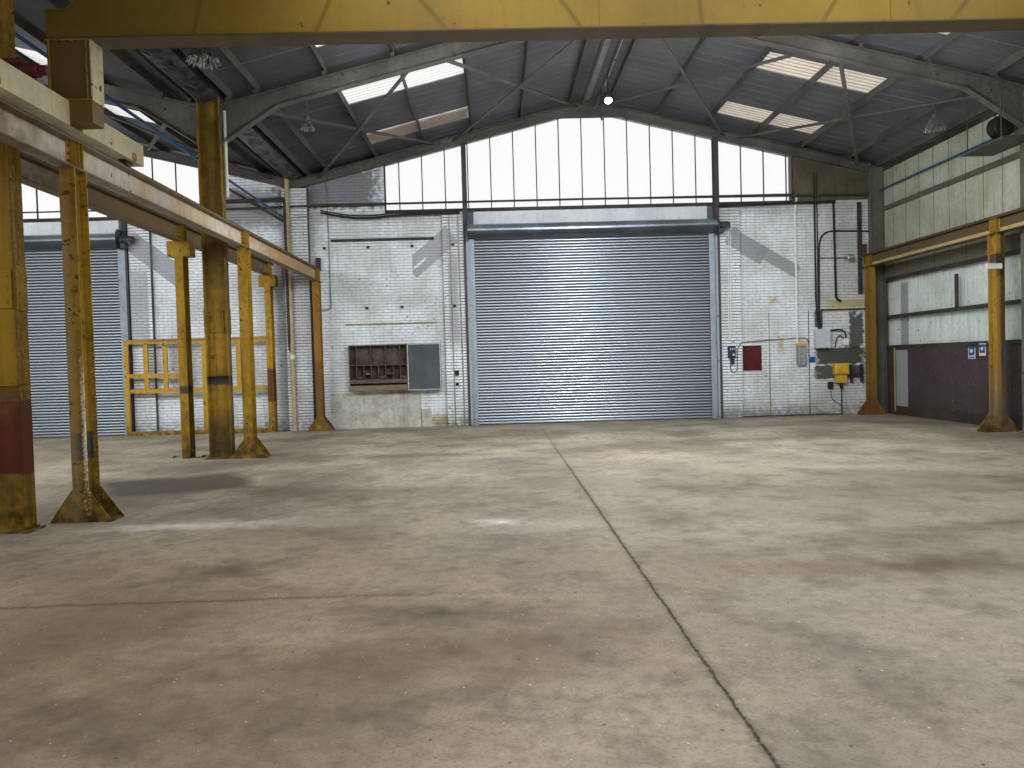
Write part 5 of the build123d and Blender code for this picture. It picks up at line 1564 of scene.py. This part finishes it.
        # Bare plates and discs on the side wall: the plate, the field on it, the disc on the field
        plate_front, field_front, disc_front = wall_inner - 0.006, wall_inner - 0.008, wall_inner - 0.010
        plates = []
        for y, z, wide, tall in ((11.30, 1.705, 0.24, 0.29), (10.94, 1.75, 0.22, 0.26)):
            corner = (wall_inner, y + wide / 2, z + tall / 2)
            plates.append(block((plate_front, y - wide / 2, z - tall / 2), corner, 0.002))
        dress(plates, "bare_white_plates", "white_moulding")
        fields = [
            block((field_front, 11.20, 1.63), (plate_front, 11.40, 1.83), 0.001),
            block((field_front, 10.85, 1.68), (plate_front, 11.03, 1.86), 0.001),
            wall_block(13.31, 1.53, 13.45, 1.69, 0.014, 0.002, back=0.004),
            block((field_front, 11.20, 1.575), (plate_front, 11.40, 1.605), 0.001),
        ]
        dress(fields, "bare_blue_fields", "blue_sign_enamel")
        discs = [
            rod("x", 11.30, 1.73, 0.042, disc_front, field_front, 28),
            rod("x", 10.94, 1.77, 0.038, disc_front, field_front, 28),
            wall_block(13.31, 1.42, 13.45, 1.53, 0.014, 0.002, back=0.004),
        ]
        dress(discs, "bare_white_discs", "white_moulding")
        return {"FINISHED"}


# Pipes, conduits and clipped cables
class SHED_OT_pipes(bpy.types.Operator):
    """Runs the pipes, conduits and clipped cables"""

    bl_idname = "shed.pipes"
    bl_label = "Pipes and cables"

    def execute(self, context):
        wall = gable_inner
        conduit = wall_tubes(
            (0.013, 0.08, (0.80, 0.03, 6.60), (0.82, 0.03, 3.27), (0.50, 0.03, 3.25)),
            (0.014, 0.06, (11.48, 0.03, 2.12), (12.99, 0.03, 2.19), (13.26, 0.03, 2.17), (13.26, 0.03, 2.05)),
            (0.012, 0.2, (-1.95, 0.08, 6.02), (-1.0, 0.10, 5.80), (0.45, 0.24, 5.62)),
        )
        clip = block((-0.02, wall - 0.03, -0.02), (0.02, wall, 0.02), 0.004)
        spots = [(12.98, 0, 2.6 + 0.75 * i) for i in range(5)]
        spots += [(0.81, 0, 3.6 + 0.75 * i) for i in range(4)]
        conduit.append(at_places(clip, spots))
        dress(conduit, "wall_conduits", "galvanised_conduit")

        pier = wall_tubes(
            (0.013, 0, (3.96, 0.125, floor_top), (3.94, 0.125, 5.60)),
            (0.015, 0, (4.20, 0.125, floor_top), (4.16, 0.125, 5.60)),
        )
        dress(pier, "pier_conduits", "galvanised_conduit")
        yellow = wall_tubes((0.009, 0, (12.24, 0.015, 0.19), (12.24, 0.015, 2.87)))
        dress(yellow, "thin_yellow_pipe", "faded_yellow_timber")
        white = wall_tubes((0.030, 0.12, (12.98, 0.03, 2.05), (12.98, 0.03, 5.55), (13.03, 0.03, 5.86)))
        dress(white, "white_conduit", "white_moulding")
        outlet = wall_block(14.18, 1.97, 14.30, 2.15, 0.13, 0.010)
        dress(outlet, "white_outlet", "white_moulding")

        sag = [(0.67, 5.73), (1.25, 5.60), (1.90, 5.55), (2.67, 5.63), (4.23, 5.64)]
        cables = wall_tubes(
            (0.028, 0.5, *((x, 0.215, z) for x, z in sag)),
            (0.018, 0.5, *((x, 0.250, z + 0.05) for x, z in sag)),
            (0.020, 0.06, (13.80, 0.08, 2.36), (14.12, 0.08, 2.38), (14.24, 0.08, 2.30), (14.24, 0.08, 2.14)),
            (0.014, 0.06, (14.22, 0.06, 2.12), (14.10, 0.06, 2.25), (13.99, 0.06, 2.12), (13.96, 0.06, 1.92)),
            (0.034, 0, (10.9, 0.16, 5.66), (12.98, 0.16, 5.70), (13.98, 0.16, 5.71)),
            (0.010, 0, (13.57, 0.05, 4.27), (14.25, 0.05, 4.25)),
            (0.030, 0.08, (13.98, 0.06, 5.72), (14.01, 0.06, 3.20), (14.14, 0.06, 3.12)),
            (
                0.022, 0.2, (13.56, 0.05, 2.41), (13.58, 0.05, 4.61), (13.67, 0.05, 4.88),
                (13.88, 0.05, 4.97), (15.12, 0.05, 4.93),
            ),
            (0.024, 0.2, (13.49, 0.035, 6.50), (13.49, 0.035, 3.10), (13.55, 0.035, 2.41)),
            (0.014, 0.2, (13.56, 0.035, 6.50), (13.545, 0.035, 2.9), (13.62, 0.035, 2.41)),
            (
                0.009, 0.06, (11.16, 0.16, 1.56), (11.15, 0.16, 1.43), (11.25, 0.16, 1.31),
                (11.34, 0.16, 1.42), (11.35, 0.16, 1.97), (11.48, 0.14, 2.12),
            ),
            (
                0.014, 0.08, (14.10, 0.09, 0.85), (14.10, 0.09, 0.62), (14.12, 0.05, 0.30),
                (14.12, 0.05, 0.165),
            ),
            (0.010, 0.1, (11.01, 0.03, 0.17), (11.25, 0.04, 0.165), (13.0, 0.03, 0.175), (14.12, 0.05, 0.17)),
            (0.008, 0.1, (13.83, 0.05, 0.85), (13.85, 0.05, 0.55), (14.12, 0.05, 0.40)),
        )
        dress(cables, "black_cables", "black_cable_sheath")

        iron = wall_tubes((
            0.028, 0.10, (-1.95, 0.10, 5.90), (0.1, 0.245, 5.90), (0.6, 0.245, 5.91),
            (7.62, 0.20, 5.92), (14.9, 0.10, 5.88),
        ))
        iron += wall_tubes((
            0.048, 0.12, (-2.05, 0.06, 6.45), (-2.05, 0.06, 6.10), (-0.22, 0.27, 6.09),
            (-0.22, 0.27, 2.40), (-0.22, 0.16, 2.20),
        ), sides=6)
        for z in (2.6, 3.7, 4.8, 5.7):
            iron.append(rod("z", -0.22, wall - 0.27, 0.058, z - 0.02, z + 0.02, 16))
        iron.append(wall_block(14.62, 3.30, 14.72, 5.70, 0.07, 0.004))
        dress(iron, "dark_iron_pipe", "dark_bitumen_paint")

        chain = wall_tubes(
            (0.011, 0.02, (11.13, 0.30, 4.95), (11.10, 0.29, 3.24), (11.10, 0.28, 2.25), (11.13, 0.28, 2.20)),
            (0.011, 0.02, (11.19, 0.30, 4.95), (11.16, 0.29, 3.24), (11.15, 0.28, 2.25), (11.13, 0.28, 2.20)),
        )
        dress(chain, "door_hand_chain", "white_moulding")

        blue = [
            tube([(-0.245, -15.0, 5.60), (-0.245, 14.7, 5.60)], 0.026),
            tube([(15.18, -15.0, 5.98), (15.18, 15.0, 5.98)], 0.024),
        ]
        dress(blue, "blue_water_pipes", "blue_water_pipe")
        drops = (*frame_lines[:2], frame_lines[3])
        rain = [tube([(0.265, y, 4.90), (0.265, y, 6.45)], 0.032, sides=6) for y in drops]
        rain += wall_tubes(
            (0.030, 0, (15.00, 0.06, 3.2), (15.00, 0.06, 6.35)),
            (0.068, 0, (-0.16, 0.255, 2.0), (-0.16, 0.255, 2.12)), sides=6,
        )
        dress(rain, "pale_rain_pipes", "off_white_pipe")
        corner = wall_tubes((0.024, 0, (15.10, 0.06, 3.2), (15.10, 0.06, 6.35)), sides=6)
        dress(corner, "corner_pipe", "dark_bitumen_paint")
        brace = wall_tubes((0.036, 0, (-1.66, 0.10, 6.40), (-0.27, 0.30, 5.52)))
        dress(brace, "knee_brace", "bare_rail_steel")
        thin = section_bar(ring(15.235, 14.43, 0.022, 8), "z", floor_top + 0.1, 1.86)
        dress(thin, "thin_corner_post", "faded_yellow_timber")
        return {"FINISHED"}


# Lamps and what hangs near the roof
high_bay_lamps = (
    (1.0, 6.19, 6.28, 0.23), (1.6, 9.8, 6.36, 0.13), (14.2, 10.73, 6.40, 0.21), (7.62, -2.7, 7.35, 0.23),
    (-1.0, -6.0, 6.28, 0.23), (-7.62, 2.0, 7.35, 0.23), (-14.2, -8.0, 6.60, 0.23),
)
lagging_wide = 0.45
lagging_sag = 0.065
lagging_crinkle = 0.055
lagging_cell = 0.14


class SHED_OT_lamps(bpy.types.Operator):
    """Makes the lamps, the ridge trunking, the plug on the near column, the tray and the lagging"""

    bl_idname = "shed.lamps"
    bl_label = "Lamps and roof services"

    def execute(self, context):
        foil, gear = [], []
        for x, y, z, wide in high_bay_lamps:
            bpy.ops.mesh.primitive_cone_add(
                vertices=32, radius1=wide, radius2=0.4 * wide, depth=wide,
                location=(x, y, z), end_fill_type="NOTHING",
            )
            shade = settle(bpy.context.object)
            edit(shade)
            bpy.ops.mesh.subdivide(number_cuts=3)
            done()
            rng = random.Random(int(abs(x * 100) + abs(y)))
            for vertex in shade.data.vertices:
                out = Vector((vertex.co.x - x, vertex.co.y - y, 0))
                vertex.co += out * rng.uniform(-0.20, 0.10) + Vector((0, 0, rng.uniform(-0.03, 0.03)))
            thickened(shade, 0.003)
            foil.append(shade)
            gear.append(rod("z", x, y, 0.050, z + 0.10, z + 0.20, 20))
            gear.append(rod("z", x, y, 0.012, z + 0.20, roof_line(x) - 0.02, 8))
        dress(foil, "high_bay_shades", "crumpled_foil")
        dress(gear, "high_bay_gear_boxes", "grey_cabinet_enamel")

        x, y, z = 7.74, 12.36, 7.66
        lit = rod("z", x, y, 0.080, z - 0.14, z - 0.035, 24, 0.03)
        dress(lit, "lit_lamp_disc", "lit_lamp_glass")
        holder = [
            rod("z", x, y, 0.10, z - 0.04, z + 0.08, 24),
            tube([(x, y, z + 0.08), (x, y, z + 0.55)], 0.012),
            block((x - 0.13, y + 0.3, z - 0.42), (x - 0.09, y + 0.36, z + 0.3), 0.006),
            block((x - 0.25, y + 0.3, z - 0.14), (x - 0.05, y + 0.34, z - 0.08), 0.006),
        ]
        dress(holder, "lit_lamp_holder", "black_cable_sheath")

        trunk = []
        for centre in (nave, -nave):
            for shift, wide, drop in ((0.16, 0.10, 0.22), (-0.20, 0.06, 0.18)):
                top = roof_line(centre) - drop
                low = (centre + shift - wide / 2, -14.6, top - 0.06)
                trunk.append(block(low, (centre + shift + wide / 2, 14.6, top), 0.006))
        dress(trunk, "ridge_cable_trunking", "dark_bitumen_paint")
        x, z = nave + 0.16, roof_line(nave) - 0.30
        tubes = [rod("y", x, z, 0.013, -14.0 + 1.6 * i, -12.5 + 1.6 * i, 10) for i in range(17)]
        dress(tubes, "ridge_tube_lamps", "pale_grey_enamel")

        bracket = wall_block(14.24, 4.17, 14.42, 4.31, 0.30, 0.03)
        dress(bracket, "bracket_lamp", "crumpled_foil")
        flood = with_inset_front(block((14.40, 9.42, 3.27), (14.70, 9.47, 3.38), 0.010), 0.015, -0.008)
        dress(flood, "flood_lamp", "white_moulding")
        case = block((14.58, 9.46, 3.39), (14.74, 9.63, 3.56), 0.012)
        dress(case, "flood_lamp_gear", "bare_rail_steel")

        # The plug on the near stanchion: its red parts lie on one axis, with a black sleeve between
        plug_y, plug_z = 2.83, 4.78
        plug = [
            rod("x", plug_y, plug_z, radius, start, end, 18)
            for radius, start, end in ((0.062, -0.36, 0.24), (0.072, 0.40, 0.62), (0.050, 0.62, 0.70))
        ]
        plug.append(block((0.27, 2.79, 4.84), (0.46, 2.87, 4.90), 0.012))
        dress(plug, "red_plug_parts", "red_plug_plastic")
        loop = [
            (0.30, 2.83, 4.72), (0.33, 2.82, 4.62), (0.42, 2.81, 4.56),
            (0.52, 2.82, 4.58), (0.57, 2.83, 4.66), (0.58, 2.83, 4.73),
        ]
        sleeve = [
            rod("x", plug_y, plug_z, 0.070, 0.24, 0.40, 18),
            tube(loop, 0.010, 0.06),
            block((0.10, 2.86, 4.74), (0.16, 2.965, 4.82), 0.006),
        ]
        dress(sleeve, "plug_sleeve_and_loop", "black_cable_sheath")

        tray = [block((14.30, 8.76, 5.55), (14.95, 10.05, 5.59), 0.006)]
        for x, top in ((14.9, 6.55), (14.35, 6.60)):
            tray += [tube([(x, y, 5.57), (x, y, top)], 0.012) for y in (8.9, 9.9)]
        dress(tray, "grey_hanging_tray", "dark_tray_enamel")
        drum = rod("y", 14.73, 5.95, 0.21, 9.35, 9.62, 24)
        hanger = rod("z", 14.73, 9.48, 0.03, 6.14, 6.60, 12)
        dress([drum, hanger], "dark_extractor", "black_cable_sheath")

        # Lagging under the valley gutter, one length between two frames
        under = roof_line(0.24) - 0.003
        rng = random.Random(3)
        lengths = []
        stops = [-14.95, -9.26, -9.03, -3.16, -2.93, 2.93, 3.16, 9.03, 9.26, 14.75]
        for start, stop in zip(stops[::2], stops[1::2]):
            rows = int((stop - start) / lagging_cell)
            bpy.ops.mesh.primitive_grid_add(
                x_subdivisions=6, y_subdivisions=rows, size=1, location=(0, (start + stop) / 2, 0)
            )
            skin = bpy.context.object
            skin.scale = (lagging_wide, stop - start, 1)
            settle(skin)
            for vertex in skin.data.vertices:
                bulge = lagging_sag * (1 - (vertex.co.x / 0.226) ** 2)
                vertex.co.z = under - bulge - rng.uniform(0.0, lagging_crinkle) * (bulge > 0.01)
            lengths.append(skin)
        dress(lengths, "valley_gutter_lagging", "crinkled_grey_lagging")
        return {"FINISHED"}


# CAD pieces that keep their own shape
kept_nodes = {
    "sooty_mortar": ["far_gable_wall", "near_gable_wall"],
    "power_floated_concrete": ["floor_slab"],
    "mustard_enamel_on_steel": ["valley_stanchions", "main_runway_posts", "side_runway_posts"],
    "grey_green_column_paint": ["wall_columns"],
    "cream_runway_paint": ["runway_beams"],
    "yellow_crane_enamel": ["crane_girder"],
    "cream_crane_enamel": ["crane_end_carriages"],
    "bare_rail_steel": ["crane_rails", "crane_wheels"],
    "yellow_fence_enamel": ["guard_fence"],
    "grey_roof_steel_paint": [
        "main_rafters_left", "main_rafters_right", "side_rafters_left", "side_rafters_right",
        "main_purlins", "side_purlins", "roof_braces_lower", "roof_braces_upper",
    ],
    "dark_bitumen_paint": ["gable_sills", "runway_end_stops", "sheeting_rails", "wall_kerbs"],
    "grey_lintel_paint": ["door_lintels"],
    "galvanised_channel": ["shutter_guides"],
    "dusty_clear_glass": ["gable_glazing"],
    "weathered_fibre_cement": ["ridge_cappings"],
    "pale_coated_sheet": ["verge_boards"],
    "crinkled_grey_lagging": ["gutters"],
    "dirty_cream_pipe": ["downpipes"],
    "grey_cabinet_enamel": ["wall_boxes"],
    "old_brown_timber": ["wall_rack"],
}


class SHED_OT_finishes(bpy.types.Operator):
    """Makes the finishes and paints the pieces that come from the frame"""

    bl_idname = "shed.finishes"
    bl_label = "Finishes"

    def execute(self, context):
        make_finishes()
        lamp_finish("lit_lamp_glass", 20.0)
        for finish, nodes in kept_nodes.items():
            for node in nodes:
                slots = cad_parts[node].data.materials
                slots.clear()
                slots.append(finishes[finish])
        return {"FINISHED"}


# Floor around the shed, camera, light
daylight = (0.93, 0.97, 1.0)
eye_place = (5.074, -4.942, 1.742)
eye_turn, eye_dip, eye_roll = -1.077, 1.559, -1.608


def area_lamp(name, where, size, watts, turn=(0, 0, 0), shade=(1, 1, 1), glossy=False):
    """A soft oblong lamp that the camera doesn't see."""
    bpy.ops.object.light_add(type="AREA", location=where, rotation=[math.radians(a) for a in turn])
    lamp = bpy.context.object
    lamp.name = name
    lamp.data.shape, lamp.data.size, lamp.data.size_y = "RECTANGLE", *size
    lamp.data.energy, lamp.data.color = watts, shade
    lamp.visible_camera = False
    lamp.visible_glossy = glossy
    return lamp


class SHED_OT_stage(bpy.types.Operator):
    """Sets the pale floor, the world, the lamps and the camera"""

    bl_idname = "shed.stage"
    bl_label = "Stage, light and camera"

    def execute(self, context):
        bpy.ops.mesh.primitive_plane_add(size=400, location=(0, 0, -0.002))
        ground = settle(context.object)
        ground.name = "stage_floor"
        pale = bpy.data.materials.new("pale_stage_floor")
        pale.use_nodes = True
        surface = pale.node_tree.nodes["Principled BSDF"].inputs
        surface["Base Color"].default_value = (0.8, 0.8, 0.8, 1)
        surface["Roughness"].default_value = 0.9
        ground.data.materials.append(pale)

        world = bpy.data.worlds.new("pale_sky")
        context.scene.world = world
        world.use_nodes = True
        tree = world.node_tree
        tree.nodes.clear()
        path = add(tree, "ShaderNodeLightPath").outputs
        seen = times(tree, path["Is Camera Ray"], path["Is Glossy Ray"], "MAXIMUM")
        seen = times(tree, seen, path["Is Transmission Ray"], "MAXIMUM")
        dim = {"Color": (0.86, 0.93, 1.0, 1), "Strength": 0.55}
        sky = add(tree, "ShaderNodeBackground", dim).outputs[0]
        white = {"Color": (1, 1, 1, 1), "Strength": 1.0}
        plain = add(tree, "ShaderNodeBackground", white).outputs[0]
        both = add(tree, "ShaderNodeMixShader", {0: seen, 1: sky, 2: plain}).outputs[0]
        add(tree, "ShaderNodeOutputWorld", {"Surface": both})

        bpy.ops.object.light_add(type="SUN", rotation=(math.radians(38), 0, math.radians(-32)))
        context.object.name = "soft_sun"
        context.object.data.energy, context.object.data.angle = 1.6, math.radians(20)
        for name, x in (("main_nave_light", nave), ("side_nave_light", -nave)):
            area_lamp(name, (x, 1.0, 6.2), (8.0, 20.0), 1060, shade=daylight, glossy=True)
            area_lamp(name + "_bounce", (x, 0.0, 0.35), (12.0, 28.0), 400, (180, 0, 0))
        area_lamp("far_gable_wash", (nave, 6.6, 5.6), (9.0, 1.6), 620, (68, 0, 0), daylight)
        area_lamp("side_gable_wash", (-nave, 6.6, 5.6), (9.0, 1.6), 640, (68, 0, 0), daylight)
        gleam = area_lamp("ridge_lamp_gleam", (8.0, 6.0, 5.9), (0.7, 0.7), 290, (80, 0, 0), glossy=True)
        gleam.visible_diffuse = False
        area_lamp("from_behind", (nave + 2.0, -14.2, 3.6), (8.0, 4.0), 260, (90, 0, 0))

        camera = bpy.data.cameras.new("camera")
        eye = bpy.data.objects.new("camera", camera)
        context.scene.collection.objects.link(eye)
        turn = Matrix.Rotation(math.radians(eye_turn), 4, "Z")
        turn = turn @ Matrix.Rotation(math.radians(90 - eye_dip), 4, "X")
        turn = turn @ Matrix.Rotation(math.radians(eye_roll), 4, "Z")
        eye.matrix_world = Matrix.Translation(eye_place) @ turn
        camera.lens, camera.sensor_width = 26.9, 36.0
        camera.clip_start, camera.clip_end = 0.05, 300.0
        context.scene.camera = eye
        context.scene.view_settings.view_transform = "Standard"
        return {"FINISHED"}


class SHED_PT_pieces(bpy.types.Panel):
    """The shed's sizes, colours and pieces"""

    bl_label = "Factory shed"
    bl_idname = "SHED_PT_pieces"
    bl_space_type = "VIEW_3D"
    bl_region_type = "UI"
    bl_category = "Factory shed"

    def draw(self, context):
        for group in (context.scene.shed_sizes, context.scene.shed_colours):
            box = self.layout.box()
            for name in group.__annotations__:
                box.prop(group, name)
        for made in steps:
            self.layout.operator(made.bl_idname)


steps = (
    SHED_OT_finishes,
    SHED_OT_brickwork,
    SHED_OT_shutters,
    SHED_OT_glazing,
    SHED_OT_roof_sheets,
    SHED_OT_wall_sheets,
    SHED_OT_steel_details,
    SHED_OT_roof_steel_details,
    SHED_OT_crane_details,
    SHED_OT_wall_fittings,
    SHED_OT_pipes,
    SHED_OT_lamps,
    SHED_OT_stage,
)


groups = (ShedSizes, ShedColours)


def register():
    """Adds the shed's classes and its two groups of settings."""
    for made in (*groups, *steps, SHED_PT_pieces):
        bpy.utils.register_class(made)
    bpy.types.Scene.shed_sizes = bpy.props.PointerProperty(type=ShedSizes)
    bpy.types.Scene.shed_colours = bpy.props.PointerProperty(type=ShedColours)


def unregister():
    """Takes them away again."""
    del bpy.types.Scene.shed_sizes
    del bpy.types.Scene.shed_colours
    for made in reversed((*groups, *steps, SHED_PT_pieces)):
        bpy.utils.unregister_class(made)


def main():
    """Runs each step in turn."""
    register()
    for made in steps:
        family, name = made.bl_idname.split(".")
        getattr(getattr(bpy.ops, family), name)()
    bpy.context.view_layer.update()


if __name__ == "__main__":
    main()
